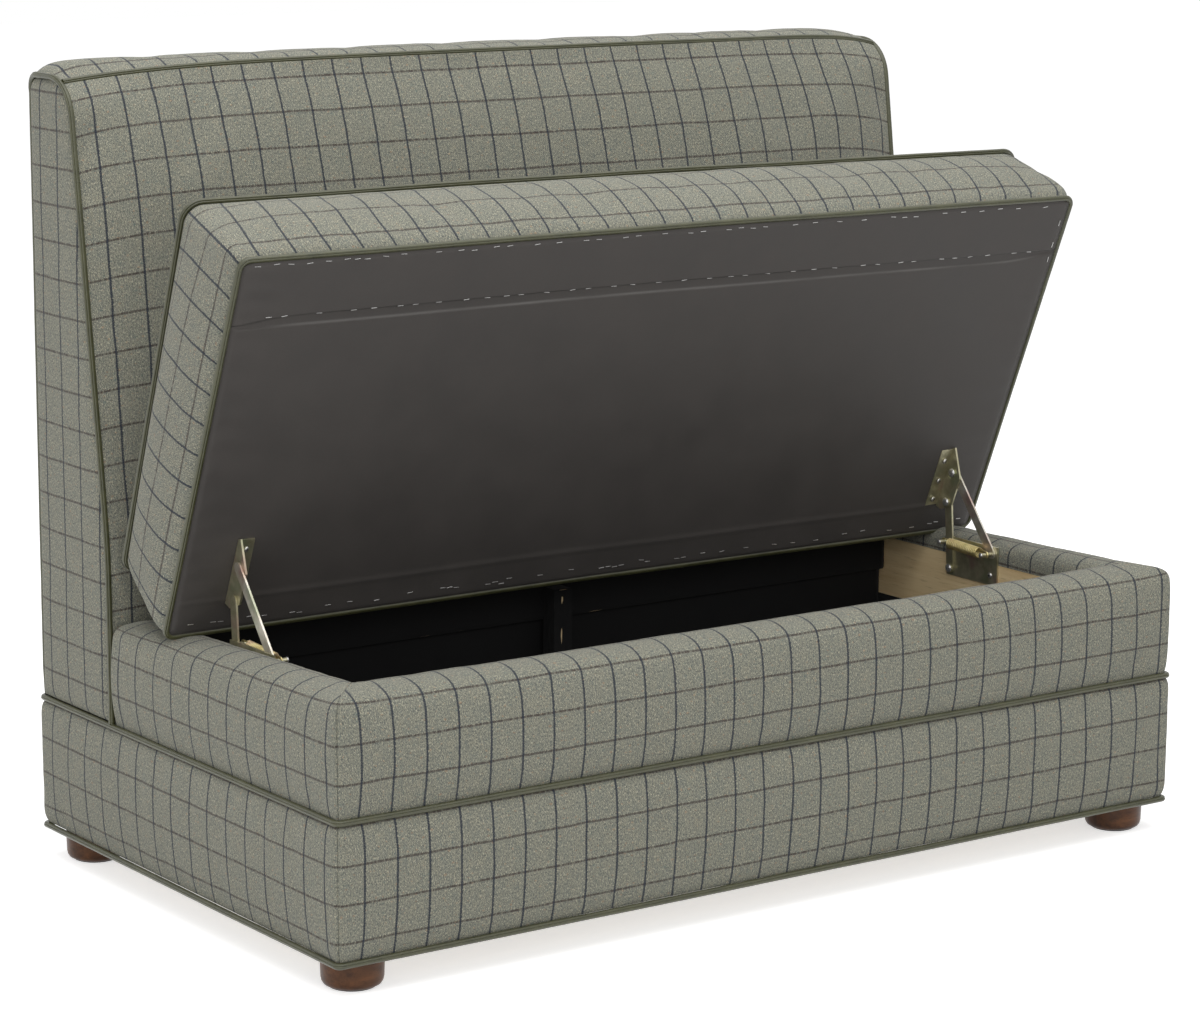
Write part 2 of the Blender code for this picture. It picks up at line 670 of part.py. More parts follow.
def top_point(along, through, around):
    outside, inside = TOP_PATH
    index = round(around * (len(outside) - 1))
    x = (2 * along - 1) * PAD_END_X
    if through > 0.5:
        return (x, *inside[index])
    y, z = outside[index]
    rearward = index / (len(outside) - 1)
    lift = swell(along) * BACK_TOP_CROWN * (1 - rearward ** 6)
    if index == 0:
        y += SEAM_OFFSET
    if index == len(outside) - 1:
        z -= EDGE_INSET
    return (x, y - swell(along) * BACK_TOP_CROWN * 0.5 * (1 - rearward) ** 4, z + lift)


FRONT_PATH = front_path()
TOP_PATH = top_path()
shaped_block("back_front_pad", (across_back(), (), even(len(FRONT_PATH[0]) - 1)), front_point, FABRIC)
shaped_block("back_top_pad", (across_back(), (), even(len(TOP_PATH[0]) - 1)), top_point, FABRIC)
edge_path = []
end_share = SEAM_OFFSET / (2 * PAD_END_X)
for share in [end_share] + across_back() + [1 - end_share]:
    lift = swell(share) * BACK_TOP_CROWN
    edge_path.append(((2 * share - 1) * PAD_END_X, BREAK[0] - lift * 0.5, BREAK[1] + lift))
tube("back_piping_top", edge_path, PIPING_RADIUS, LEATHER)

# Lid: every piece hangs on the rear pivot axis and is drawn as if closed, then turned open
across_lid = Vector((0, -math.cos(OPEN_ANGLE), math.sin(OPEN_ANGLE)))
above_lid = Vector((0, math.sin(OPEN_ANGLE), math.cos(OPEN_ANGLE)))
LID_EDGE = Vector((0, LID_EDGE_Y, LID_EDGE_Z))


def open_place(pivot):
    """Where a lid pivot lies while the lid is open."""
    return LID_EDGE + across_lid * pivot[0] + above_lid * pivot[1]


LID = bpy.data.objects.new("lid_pivot", None)
LID.location = open_place(LID_REAR_PIVOT)
LID.rotation_euler = (-OPEN_ANGLE, 0, 0)
PARTS.objects.link(LID)


def on_lid(x, depth, height):
    return (x, LID_REAR_PIVOT[0] - depth, height - LID_REAR_PIVOT[1])


def lid_box(name, half_x, depths, heights, finish):
    low = on_lid(-half_x, depths[1], heights[0])
    high = on_lid(half_x, depths[0], heights[1])
    return box(name, low, high, finish, LID)


RAIL_BASE = DUST_COVER_LEVEL + DUST_COVER_THICKNESS + CLEARANCE
RAIL_HEAD = RAIL_BASE + LID_RAIL_HEIGHT
DECK_BASE = RAIL_HEAD + CLEARANCE
DECK_HEAD = DECK_BASE + LID_DECK_THICKNESS
FRAME_X = LID_HALF_WIDTH - LID_WALL
FRAME_REAR = LID_WALL
FRAME_FRONT = LID_DEPTH - LID_WALL
RAIL_LEVELS = (RAIL_BASE, RAIL_HEAD)
lid_box("lid_rail_rear", FRAME_X, (FRAME_REAR, FRAME_REAR + LID_RAIL_WIDTH), RAIL_LEVELS, WOOD)
lid_box("lid_rail_front", FRAME_X, (FRAME_FRONT - LID_RAIL_WIDTH, FRAME_FRONT), RAIL_LEVELS, WOOD)
between = (FRAME_REAR + LID_RAIL_WIDTH + CLEARANCE, FRAME_FRONT - LID_RAIL_WIDTH - CLEARANCE)
lid_box("lid_slat_centre", LID_RAIL_WIDTH / 2, between, RAIL_LEVELS, WOOD)
for side, sign in (("left", -1), ("right", 1)):
    edges = sorted((sign * FRAME_X, sign * (FRAME_X - LID_RAIL_WIDTH)))
    low = on_lid(edges[0], between[1], RAIL_BASE)
    high = on_lid(edges[1], between[0], RAIL_HEAD)
    box(f"lid_rail_{side}", low, high, WOOD, LID)
lid_box("lid_deck", FRAME_X, (FRAME_REAR, FRAME_FRONT), (DECK_BASE, DECK_HEAD), WOOD)
COVER_INSET = SEAM_OFFSET + CLEARANCE
cover_loop = rounded_loop(LID_HALF_WIDTH - COVER_INSET, COVER_INSET, LID_DEPTH - COVER_INSET,
                          LID_CORNER - COVER_INSET, 0.0)
cover_level = DUST_COVER_LEVEL + DUST_COVER_THICKNESS / 2 - LID_REAR_PIVOT[1]
cover_outline = [on_lid(*point)[:2] for point in cover_loop]
plate("lid_dust_cover", [cover_outline], DUST_COVER_THICKNESS, DUST_CLOTH, FLAT, (0, 0, cover_level), LID)


def rounded_plan(x, y, half_x, half_y):
    """Pull a point of the plan rectangle in, so that the corners follow an arc."""
    past_x = abs(x) - (half_x - LID_CORNER)
    past_y = abs(y) - (half_y - LID_CORNER)
    if past_x <= 0 or past_y <= 0:
        return x, y
    pull = max(past_x, past_y) / math.hypot(past_x, past_y)
    return (math.copysign(half_x - LID_CORNER + past_x * pull, x),
            math.copysign(half_y - LID_CORNER + past_y * pull, y))


def lid_height(depth):
    return LID_REAR_HEIGHT + (LID_FRONT_HEIGHT - LID_REAR_HEIGHT) * depth / LID_DEPTH


# Boxing from the lower seam to the upper one: (outward, share of height, height added)
SEAM_CLEAR = PIPING_RADIUS + 6 * CLEARANCE
SEAM_FOLD = PIPING_RADIUS * 0.6
BOXING = [(-LID_DRAW_IN, 0.0, RAIL_BASE), (-LID_DRAW_IN, 0.0, LID_PIPING_LEVEL + SEAM_FOLD),
          (-CLEARANCE, 0.0, LID_PIPING_LEVEL + SEAM_CLEAR), (LID_BULGE * 0.75, 0.25, 0.0),
          (LID_BULGE, 0.5, 0.0), (LID_BULGE * 0.75, 0.75, 0.0),
          (-CLEARANCE, 1.0, -SEAM_CLEAR), (-LID_DRAW_IN, 1.0, -SEAM_FOLD)]


def cushion_point(along, across, up):
    level = round(up * (len(BOXING) - 1))
    outward, share, added = BOXING[level]
    half_x = LID_HALF_WIDTH + outward
    half_y = LID_DEPTH / 2 + (min(outward, LID_REAR_BULGE) if across > 0.5 else outward)
    x, y = rounded_plan((2 * along - 1) * half_x, (2 * across - 1) * half_y, half_x, half_y)
    depth = LID_DEPTH / 2 - y
    height = lid_height(depth) * share + added
    if level == len(BOXING) - 1:
        inside = min(1.0, 8 * along * (1 - along)) * min(1.0, 8 * across * (1 - across))
        height += LID_CROWN * math.sqrt(max(0.0, inside))
    ease = LID_REAR_EASE * height / LID_REAR_HEIGHT * max(0.0, 1 - depth / (LID_DEPTH / 2)) ** 2
    return on_lid(x, depth + ease, height)




def cushion_cuts(length, further):
    """Shares of a side: two in each round corner and the given ones up to the middle."""
    corner = LID_CORNER / length
    near = [corner * 0.45, corner] + further
    return near + [0.5] + [1 - share for share in reversed(near)]


cushion = shaped_block("seat_cushion", (cushion_cuts(2 * LID_HALF_WIDTH, [0.06, 0.14, 0.26, 0.38]),
                                        cushion_cuts(LID_DEPTH, [0.12, 0.25]), even(len(BOXING) - 1)),
                       cushion_point, FABRIC, LID)
pocket_depths = (FRAME_REAR - CLEARANCE, FRAME_FRONT + CLEARANCE)
pocket_levels = (-LID_RAIL_HEIGHT, DECK_HEAD + CLEARANCE)
pocket = lid_box("seat_cushion_pocket", FRAME_X + CLEARANCE, pocket_depths, pocket_levels, FABRIC)
join(cushion, pocket)
cushion.modifiers[-1].operation = "DIFFERENCE"

lower_seam = rounded_loop(LID_HALF_WIDTH, 0, LID_DEPTH, LID_CORNER, LID_PIPING_LEVEL)
tube("lid_piping_lower", [on_lid(*point) for point in lower_seam], PIPING_RADIUS, LEATHER, True, parent=LID)
upper_seam = []
for x, depth, _ in rounded_loop(LID_HALF_WIDTH, 0, LID_DEPTH, LID_CORNER, 0.0):
    height = lid_height(depth)
    ease = LID_REAR_EASE * height / LID_REAR_HEIGHT * max(0.0, 1 - depth / (LID_DEPTH / 2)) ** 2
    upper_seam.append(on_lid(x, depth + ease, height))
tube("lid_piping_upper", upper_seam, PIPING_RADIUS, LEATHER, True, parent=LID)

# Hinges: thin layers stacked inwards from the rail, the plate first, then the arms, then the lid bracket
PLATE_IN = CLEARANCE
ARM_IN = PLATE_IN + STEEL + CLEARANCE
WEB_IN = ARM_IN + STEEL + CLEARANCE
rear_tip = open_place(LID_REAR_PIVOT)
front_tip = open_place(LID_FRONT_PIVOT)
ARM_HOLE = PIN_RADIUS + CLEARANCE


def hinge_plate(side, sign):
    low_y, high_y = FRONT_PIVOT[0] - PLATE_MARGIN, REAR_PIVOT[0] + PLATE_MARGIN
    low_z, high_z = REAR_PIVOT[1] - PLATE_MARGIN, FRONT_PIVOT[1] + PLATE_MARGIN
    outline = [(low_y, low_z), (high_y, low_z), (high_y, high_z), (low_y, high_z)]
    x = sign * (INNER_X - PLATE_IN - STEEL / 2)
    part = plate(f"hinge_plate_{side}", [outline], STEEL, ZINC, location=(x, 0, 0))
    inwards = -sign
    head = inwards * (WEB_IN - PLATE_IN - STEEL / 2)
    join_pin(part, PIN_RADIUS, 0, head + inwards * PIN_HEAD / 2, *REAR_PIVOT)
    join_pin(part, PIN_HEAD_RADIUS, head, head + inwards * PIN_HEAD, *REAR_PIVOT)
    join_pin(part, SPRING_PIN_RADIUS, 0, inwards * (ARM_IN + SPRING_PIN_LENGTH), *FRONT_PIVOT)


def rear_arm(side, sign):
    x = sign * (INNER_X - ARM_IN - STEEL / 2)
    tip = (rear_tip.y - REAR_PIVOT[0], rear_tip.z - REAR_PIVOT[1])
    loops = [bar((0, 0), tip, ARM_WIDTH), circle((0, 0), ARM_HOLE), circle(tip, ARM_HOLE)]
    part = plate(f"hinge_rear_arm_{side}", loops, STEEL, ZINC, location=(x, *REAR_PIVOT))
    share = SPRING_PIN_DISTANCE / math.hypot(*tip)
    join_pin(part, SPRING_PIN_RADIUS, 0, -sign * SPRING_PIN_LENGTH, tip[0] * share, tip[1] * share)


def front_arm(side, sign):
    x = sign * (INNER_X - ARM_IN - STEEL / 2)
    tip = (front_tip.y - FRONT_PIVOT[0], front_tip.z - FRONT_PIVOT[1])
    loops = [bar((0, 0), tip, ARM_WIDTH), circle((0, 0), SPRING_PIN_RADIUS + CLEARANCE)]
    plate(f"hinge_front_arm_{side}", loops, STEEL, ZINC, location=(x, *FRONT_PIVOT))


def lid_bracket(side, sign):
    start = LID_REAR_PIVOT[0] - BRACKET_BEHIND_PIN
    end = start + BRACKET_LENGTH
    top = -CLEARANCE - STEEL / 5
    bottom = LID_REAR_PIVOT[1] - BRACKET_BELOW_PIN
    web = [(start, top), (end, top), (end + STEEL, -STEEL * 2), (LID_FRONT_PIVOT[0], bottom),
           (LID_REAR_PIVOT[0], bottom), (start, -BRACKET_HEEL)]
    outline = [on_lid(0, *point)[1:] for point in web]
    x = sign * (INNER_X - WEB_IN - STEEL / 2)
    part = plate(f"lid_bracket_{side}", [outline], STEEL, ZINC, location=(x, 0, 0), parent=LID)
    near, far = sorted((x + sign * STEEL / 4, x - sign * BRACKET_FLANGE))
    low = on_lid(near, end - STEEL / 4, -CLEARANCE - STEEL)
    high = on_lid(far, start + STEEL / 4, -CLEARANCE)
    flange = box(f"lid_bracket_{side}_flange", low, high, ZINC, LID)
    join(part, flange)
    through = sign * (WEB_IN - ARM_IN + STEEL / 2)
    head = -sign * (STEEL / 2 + PIN_HEAD)
    for pivot in (LID_REAR_PIVOT, LID_FRONT_PIVOT):
        join_pin(part, PIN_HEAD_RADIUS, 0, head, *on_lid(0, *pivot)[1:])
    join_pin(part, PIN_RADIUS, 0, through, *on_lid(0, *LID_REAR_PIVOT)[1:])


def spring(side, sign):
    """A close coil between the front pin and the rear arm's pin, with a hook round each."""
    start = Vector((0, *FRONT_PIVOT))
    arm = Vector((0, rear_tip.y - REAR_PIVOT[0], rear_tip.z - REAR_PIVOT[1])).normalized()
    end = Vector((0, *REAR_PIVOT)) + arm * SPRING_PIN_DISTANCE
    x = sign * (INNER_X - WEB_IN - SPRING_OFFSET)
    along = (end - start).normalized()
    upward = Vector((1, 0, 0)).cross(along)
    length = (end - start).length
    hook = SPRING_PIN_RADIUS + SPRING_WIRE + CLEARANCE
    points = []

    def place(distance, up, out=0.0):
        point = start + along * distance + upward * up
        points.append((x + sign * out, point.y, point.z))

    for k in range(7):
        angle = math.pi * (1.25 - 0.75 * k / 6)
        place(hook * math.cos(angle), hook * math.sin(angle))
    place(SPRING_HOOK * 0.6, hook)
    steps = SPRING_CURLS * SPRING_POINTS
    for k in range(steps + 1):
        angle = math.tau * k / SPRING_POINTS
        distance = SPRING_HOOK + (length - 2 * SPRING_HOOK) * k / steps
        place(distance, SPRING_RADIUS * math.cos(angle), SPRING_RADIUS * math.sin(angle))
    place(length - SPRING_HOOK * 0.6, hook)
    for k in range(7):
        angle = math.pi * (0.5 - 0.75 * k / 6)
        place(length + hook * math.cos(angle), hook * math.sin(angle))
    tube(f"hinge_spring_{side}", points, SPRING_WIRE, ZINC, resolution=1)
    return points


def least_gap(points, wire, skip):
    """The least gap between stretches of a tube that aren't neighbours, measured on its points."""
    least = math.inf
    for first in range(len(points)):
        for second in range(first + skip, len(points)):
            least = min(least, math.dist(points[first], points[second]))
    return least - 2 * wire


for side, sign in (("left", -1), ("right", 1)):
    hinge_plate(side, sign)
    rear_arm(side, sign)
    front_arm(side, sign)
    lid_bracket(side, sign)
    coil = spring(side, sign)
    gap = least_gap(coil, SPRING_WIRE, SPRING_POINTS - 1)
    print(f"hinge_spring_{side} least gap to itself: {gap * 1000:.2f} mm")
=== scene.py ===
"""Storage banquette with its seat lifted.

Padding, cloth, piping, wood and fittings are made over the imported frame.
"""
import json
import math
import random

import bmesh
import bpy
import numpy as np
from mathutils import Matrix, Vector, noise

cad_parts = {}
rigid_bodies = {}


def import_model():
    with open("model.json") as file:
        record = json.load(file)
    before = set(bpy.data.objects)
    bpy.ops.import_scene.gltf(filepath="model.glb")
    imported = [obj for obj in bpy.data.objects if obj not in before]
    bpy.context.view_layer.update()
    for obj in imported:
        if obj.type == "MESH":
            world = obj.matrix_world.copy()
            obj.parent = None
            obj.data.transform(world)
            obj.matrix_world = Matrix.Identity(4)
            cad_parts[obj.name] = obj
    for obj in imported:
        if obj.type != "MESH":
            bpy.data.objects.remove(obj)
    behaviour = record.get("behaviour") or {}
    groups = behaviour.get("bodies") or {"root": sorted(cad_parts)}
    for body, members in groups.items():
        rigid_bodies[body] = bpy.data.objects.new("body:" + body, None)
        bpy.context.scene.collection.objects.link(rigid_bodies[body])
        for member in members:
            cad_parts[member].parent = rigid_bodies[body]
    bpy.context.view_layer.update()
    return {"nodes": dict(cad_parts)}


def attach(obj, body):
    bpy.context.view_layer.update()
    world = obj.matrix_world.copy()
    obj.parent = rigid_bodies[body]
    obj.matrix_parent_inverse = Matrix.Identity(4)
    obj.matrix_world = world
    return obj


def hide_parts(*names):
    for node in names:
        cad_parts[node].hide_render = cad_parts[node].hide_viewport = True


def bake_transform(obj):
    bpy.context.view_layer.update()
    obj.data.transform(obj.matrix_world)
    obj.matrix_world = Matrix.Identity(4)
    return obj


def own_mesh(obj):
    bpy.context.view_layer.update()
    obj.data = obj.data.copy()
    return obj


for leftover in list(bpy.data.objects):
    bpy.data.objects.remove(leftover, do_unlink=True)
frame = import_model()
nodes = frame["nodes"]
scene = bpy.context.scene

# Feet: round hardwood blocks, turned on a lathe, stained a warm mahogany and lacquered.
# Each is screwed up into the floor panel and stands on a thin felt disc.
FOOT_X, FOOT_Y = 0.5631, 0.2991
FOOT_PROFILE = [(0.0, 0.0385), (0.0347, 0.0385), (0.0358, 0.0372), (0.0357, 0.0250),
                (0.0352, 0.0110), (0.0343, 0.0068), (0.0324, 0.0038), (0.0295, 0.0022),
                (0.0268, 0.0020), (0.0268, 0.0003), (0.0260, 0.0), (0.0, 0.0)]
FOOT_SEGMENTS, FELT_TOP = 64, 0.0019


def tree_node(tree, kind, sockets=(), **settings):
    """A node; sockets gives an input, by name or number, a value or another node's output."""
    made = tree.nodes.new(kind)
    for name, value in settings.items():
        setattr(made, name, value)
    for key, value in dict(sockets).items():
        if isinstance(value, bpy.types.NodeSocket):
            tree.links.new(value, made.inputs[key])
        else:
            made.inputs[key].default_value = value
    return made


def shader_node(tree, kind, sockets=(), **settings):
    return tree_node(tree, "ShaderNode" + kind, sockets, **settings)


def maths(tree, operation, *values):
    return shader_node(tree, "Math", dict(enumerate(values)), operation=operation).outputs[0]


def blend_colours(tree, share, first, second):
    """Two colours, each red, green and blue or another node's output, mixed by a share."""
    ends = [end if isinstance(end, bpy.types.NodeSocket) else (*end, 1) for end in (first, second)]
    sockets = {0: share, 6: ends[0], 7: ends[1]}
    return shader_node(tree, "Mix", sockets, data_type="RGBA").outputs[2]


def own_place(tree):
    return shader_node(tree, "TexCoord").outputs["Object"]


def grained(tree, place, stretch, detail=3.0, roughness=0.6):
    """Noise from 0 to 1, fine all ways alike or pulled out along one or two directions."""
    if isinstance(stretch, float):
        stretch = (stretch, stretch, stretch)
    pulled = shader_node(tree, "Mapping", {"Vector": place, "Scale": stretch}).outputs[0]
    sockets = {"Vector": pulled, "Scale": 1.0, "Detail": detail, "Roughness": roughness}
    return shader_node(tree, "TexNoise", sockets).outputs[0]


def spread(tree, value, low, high, first=0.0, second=1.0):
    """The stretch of a value from low to high, drawn out to first and second."""
    sockets = {0: value, 1: low, 2: high, 3: first, 4: second}
    return shader_node(tree, "MapRange", sockets).outputs[0]


def layered(tree, ground, layers):
    """Colours laid over a ground, each as strong as its pattern says between low and high."""
    for pattern, low, high, first, second, colour in layers:
        share = spread(tree, pattern, low, high, first, second)
        ground = blend_colours(tree, share, ground, colour)
    return ground


def new_finish(name):
    made = bpy.data.materials.new(name)
    made.use_nodes = True
    return made, made.node_tree, made.node_tree.nodes["Principled BSDF"]


def set_shader(tree, shader, colour, roughness, numbers=()):
    """Link the colour and the roughness, and set the even numbers on the shader's sockets."""
    tree.links.new(colour, shader.inputs["Base Color"])
    tree.links.new(roughness, shader.inputs["Roughness"])
    for name, value in dict(numbers).items():
        shader.inputs[name].default_value = value


def raise_surface(tree, shader, height, strength, distance):
    sockets = {"Height": height, "Strength": strength, "Distance": distance}
    bump = shader_node(tree, "Bump", sockets)
    tree.links.new(bump.outputs[0], shader.inputs["Normal"])


def mahogany_stain():
    made, tree, shader = new_finish("mahogany_stain_finish")
    place = own_place(tree)
    figure = grained(tree, place, (14.0, 90.0, 90.0), 4.0)
    pores = grained(tree, place, (60.0, 900.0, 900.0), 2.0)
    stain = layered(tree, (0.042, 0.0165, 0.0068), [
        (figure, 0.30, 0.70, 0.0, 1.0, (0.138, 0.056, 0.022)),
        (pores, 0.30, 0.42, 0.65, 0.0, (0.028, 0.010, 0.004))])
    set_shader(tree, shader, stain, spread(tree, figure, 0.2, 0.8, 0.28, 0.42),
               {"Coat Weight": 0.05, "Coat Roughness": 0.22, "Specular IOR Level": 0.20})
    raise_surface(tree, shader, pores, 0.12, 0.0004)
    return made


def speckled(name, scale, detail, colours, roughness, bump, metal=0.0):
    """A plain finish that goes from one colour to another with its fine grain."""
    made, tree, shader = new_finish(name)
    grain = grained(tree, own_place(tree), scale, detail)
    set_shader(tree, shader, blend_colours(tree, grain, *colours),
               spread(tree, grain, 0.2, 0.8, *roughness), {"Metallic": metal})
    raise_surface(tree, shader, grain, *bump)
    return made


def new_piece(name, points, faces, finish, body, crease=40.0):
    """A piece from points and faces, smooth but for creases, that rides on a body."""
    data = bpy.data.meshes.new(name)
    data.from_pydata([tuple(point) for point in points], [], faces)
    data.materials.append(finish)
    data.shade_smooth()
    data.set_sharp_from_angle(angle=math.radians(crease))
    piece = bpy.data.objects.new(name, data)
    scene.collection.objects.link(piece)
    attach(piece, body)
    return piece


def turned(name, profile, centre, finish, body, segments):
    """A solid of revolution about an upright line, its two ends closed on the axis."""
    points, faces, rings = [], [], []
    for radius, height in profile:
        count = 1 if radius == 0 else segments
        rings.append(list(range(len(points), len(points) + count)))
        for k in range(count):
            angle = math.tau * k / segments
            x, y = radius * math.cos(angle), radius * math.sin(angle)
            points.append((centre[0] + x, centre[1] + y, height))
    for above, below in zip(rings, rings[1:]):
        for k in range(segments):
            after = (k + 1) % segments
            quad = [above[k % len(above)], below[k % len(below)],
                    below[after % len(below)], above[after % len(above)]]
            faces.append(list(dict.fromkeys(quad)))
    return new_piece(name, points, faces, finish, body)


foot_finish = mahogany_stain()
felt_finish = speckled("grey_felt_finish", 900.0, 3.0, ((0.05, 0.048, 0.045), (0.16, 0.155, 0.15)),
                       (0.85, 1.0), (0.5, 0.0006))
for side, sign_x in (("left", -1), ("right", 1)):
    for end, sign_y in (("front", -1), ("rear", 1)):
        centre = (sign_x * FOOT_X, sign_y * FOOT_Y)
        foot = turned(f"turned_foot_{end}_{side}", FOOT_PROFILE, centre, foot_finish, "frame",
                      FOOT_SEGMENTS)
        foot.data.materials.append(felt_finish)
        for face in foot.data.polygons:
            face.material_index = int(face.center.z < FELT_TOP)
        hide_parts(f"foot_{end}_{side}")

# Base frame and seat rails: a plywood floor panel with sawn poplar boards standing on it.
# All are glued and screwed. Only the side rails' inner faces show, bare, above the liner.


def sawn_poplar(name, stretch):
    """Pale sawn board; stretch is small along the grain."""
    made, tree, shader = new_finish(name)
    place = own_place(tree)
    figure = grained(tree, place, stretch, 5.0, 0.62)
    fine = grained(tree, place, tuple(6.0 * share for share in stretch), 2.0)
    cloud = grained(tree, place, 9.0, 2.0)
    board = layered(tree, (0.620, 0.440, 0.225), [
        (figure, 0.30, 0.72, 0.0, 1.0, (0.860, 0.690, 0.410)),
        (cloud, 0.42, 0.75, 0.0, 0.55, (0.720, 0.560, 0.320)),
        (fine, 0.28, 0.40, 0.55, 0.0, (0.36, 0.250, 0.140))])
    set_shader(tree, shader, board, spread(tree, figure, 0.2, 0.8, 0.62, 0.82))
    raise_surface(tree, shader, fine, 0.35, 0.0005)
    return made


poplar_along_x = sawn_poplar("poplar_along_x", (5.0, 75.0, 75.0))
poplar_along_y = sawn_poplar("poplar_along_y", (75.0, 5.0, 75.0))
poplar_upright = sawn_poplar("poplar_upright", (75.0, 75.0, 5.0))


def finish_nodes(finish, *names):
    for name in names:
        data = nodes[name].data
        data.materials.clear()
        data.materials.append(finish)


finish_nodes(poplar_along_x, "floor_panel", "base_board_front", "base_board_rear",
             "seat_rail_front", "seat_rail_rear")
finish_nodes(poplar_along_y, "base_board_left", "base_board_right",
             "seat_rail_left", "seat_rail_right")
finish_nodes(poplar_upright, "centre_post")

# Base bands: wool tweed over padding, drawn tight round the base boards between the pipings.
# The cloth is grey-green herringbone with a fine navy and brown check, seamed at each corner.
HALF_W, HALF_D = 0.6096, 0.3456
PADDING, GAP = 0.0313, 0.0003
CHECK_UP, CHECK_ACROSS = 0.04176, 0.0436
TWILL_TURN, TWILL_RIB = 0.0065, 0.0028
CORNER_ROUND, LEAST_ROUND, CORNER_REACH = 0.006, 0.0015, 0.045
SEAM_DENT, SEAM_WIDTH, COVER_SWELL = 0.0018, 0.0016, 0.0012
RAIL_TOP, RIM_TOP = 0.3093, 0.3335
BAND_FACE = [(0.0043, 0.0420), (0.0030, 0.0475), (0.0012, 0.0555), (-0.0001, 0.0650),
             (-0.0024, 0.0900), (-0.0039, 0.1200), (-0.0042, 0.1450), (-0.0035, 0.1680),
             (-0.0019, 0.1850), (0.0004, 0.1925), (0.0028, 0.1964)]
BAND_CORNER = [(0.0040, 0.0422), (0.0012, 0.0475), (-0.0008, 0.0555), (-0.0013, 0.0650),
               (-0.0017, 0.0900), (-0.0019, 0.1200), (-0.0019, 0.1450), (-0.0018, 0.1680),
               (-0.0015, 0.1850), (0.0004, 0.1925), (0.0028, 0.1962)]
BAND_START, BAND_LEVEL = 0.5777, -0.1102
SIDE_FIRST, SIDE_PITCH = 0.3098, 0.0424


def check_tweed():
    made, tree, shader = new_finish("check_tweed_finish")
    cloth = shader_node(tree, "UVMap", uv_map="cloth").outputs["UV"]
    across, up, _ = shader_node(tree, "SeparateXYZ", {0: cloth}).outputs
    streaks = grained(tree, cloth, (560.0, 60.0, 1.0), 2.0, 0.60)
    flecks = grained(tree, cloth, (760.0, 350.0, 1.0), 2.0, 0.70)
    pepper = grained(tree, cloth, (840.0, 420.0, 5.0), 1.0, 0.60)
    clouds = grained(tree, cloth, (46.0, 30.0, 1.0), 3.0)
    slubs = grained(tree, cloth, (190.0, 260.0, 9.0), 0.0)
    zigzag = maths(tree, "ADD", up, maths(tree, "PINGPONG", across, TWILL_TURN))
    twill = maths(tree, "SINE", maths(tree, "MULTIPLY", zigzag, math.tau / TWILL_RIB))
    twill = spread(tree, twill, -1.0, 1.0)

    ground = layered(tree, (0.222, 0.226, 0.178), [
        (clouds, 0.33, 0.67, 0.0, 1.0, (0.252, 0.242, 0.182)),
        (streaks, 0.36, 0.60, 0.72, 0.0, (0.140, 0.152, 0.136)),
        (flecks, 0.51, 0.65, 0.0, 0.92, (0.465, 0.440, 0.335)),
        (pepper, 0.35, 0.48, 0.86, 0.0, (0.080, 0.087, 0.080)),
        (twill, 0.0, 0.5, 0.34, 0.0, (0.100, 0.107, 0.095)),
        (slubs, 0.745, 0.775, 0.0, 0.26, (0.420, 0.215, 0.095)),
        (slubs, 0.225, 0.255, 0.34, 0.0, (0.070, 0.125, 0.125))])

    wander = spread(tree, grained(tree, cloth, (11.0, 17.0, 1.0), 2.0), 0.3, 0.7, -0.0006, 0.0006)
    ragged = spread(tree, flecks, 0.3, 0.7, -0.00055, 0.00055)
    stray = maths(tree, "ADD", wander, ragged)
    from_navy = maths(tree, "PINGPONG", maths(tree, "ADD", across, stray), CHECK_UP / 2)
    from_brown = maths(tree, "PINGPONG", maths(tree, "ADD", up, stray), CHECK_ACROSS / 2)
    navy = spread(tree, from_navy, 0.0010, 0.0017, 0.97, 0.0)
    notched = spread(tree, twill, 0.0, 0.7, 0.74, 1.0)
    navy = maths(tree, "MULTIPLY", navy, notched)
    broken = spread(tree, grained(tree, cloth, (420.0, 60.0, 1.0), 2.0), 0.34, 0.58, 0.40, 1.0)
    brown = maths(tree, "MULTIPLY", spread(tree, from_brown, 0.0008, 0.0018, 0.95, 0.0), broken)
    ground = blend_colours(tree, brown, ground, (0.050, 0.038, 0.033))
    ground = blend_colours(tree, navy, ground, (0.014, 0.020, 0.033))
    set_shader(tree, shader, ground, spread(tree, flecks, 0.2, 0.8, 0.82, 0.98),
               {"Sheen Weight": 0.12, "Sheen Roughness": 0.55, "Specular IOR Level": 0.25})
    ribs = maths(tree, "MULTIPLY", twill, 0.55)
    weave = maths(tree, "ADD", ribs, maths(tree, "ADD", flecks, pepper))
    raise_surface(tree, shader, weave, 0.42, 0.0008)
    return made


tweed = check_tweed()


def drawn_line(points, steps, beside=None):
    """A smooth line through the points: its places and distances.

    It is cut in equal steps of its own length, or of the length of the line beside it.
    """
    def smooth(knots):
        knots = np.array(knots, float)
        ends = np.vstack([2 * knots[0] - knots[1], knots, 2 * knots[-1] - knots[-2]])
        dense = []
        for k in range(1, len(ends) - 2):
            p0, p1, p2, p3 = ends[k - 1:k + 3]
            for share in np.linspace(0, 1, 12, endpoint=False):
                bend = 2 * p0 - 5 * p1 + 4 * p2 - p3
                turn = 3 * p1 - p0 - 3 * p2 + p3
                dense.append(0.5 * (2 * p1 + (p2 - p0) * share + bend * share ** 2
                                    + turn * share ** 3))
        return np.array(dense + [knots[-1]])

    dense = smooth(points)
    guide = dense if beside is None else smooth(beside)
    travelled = np.concatenate([[0], np.cumsum(np.linalg.norm(np.diff(guide, axis=0), axis=1))])
    stops = np.linspace(0, travelled[-1], steps + 1)
    return np.stack([np.interp(stops, travelled, column) for column in dense.T], axis=1), stops


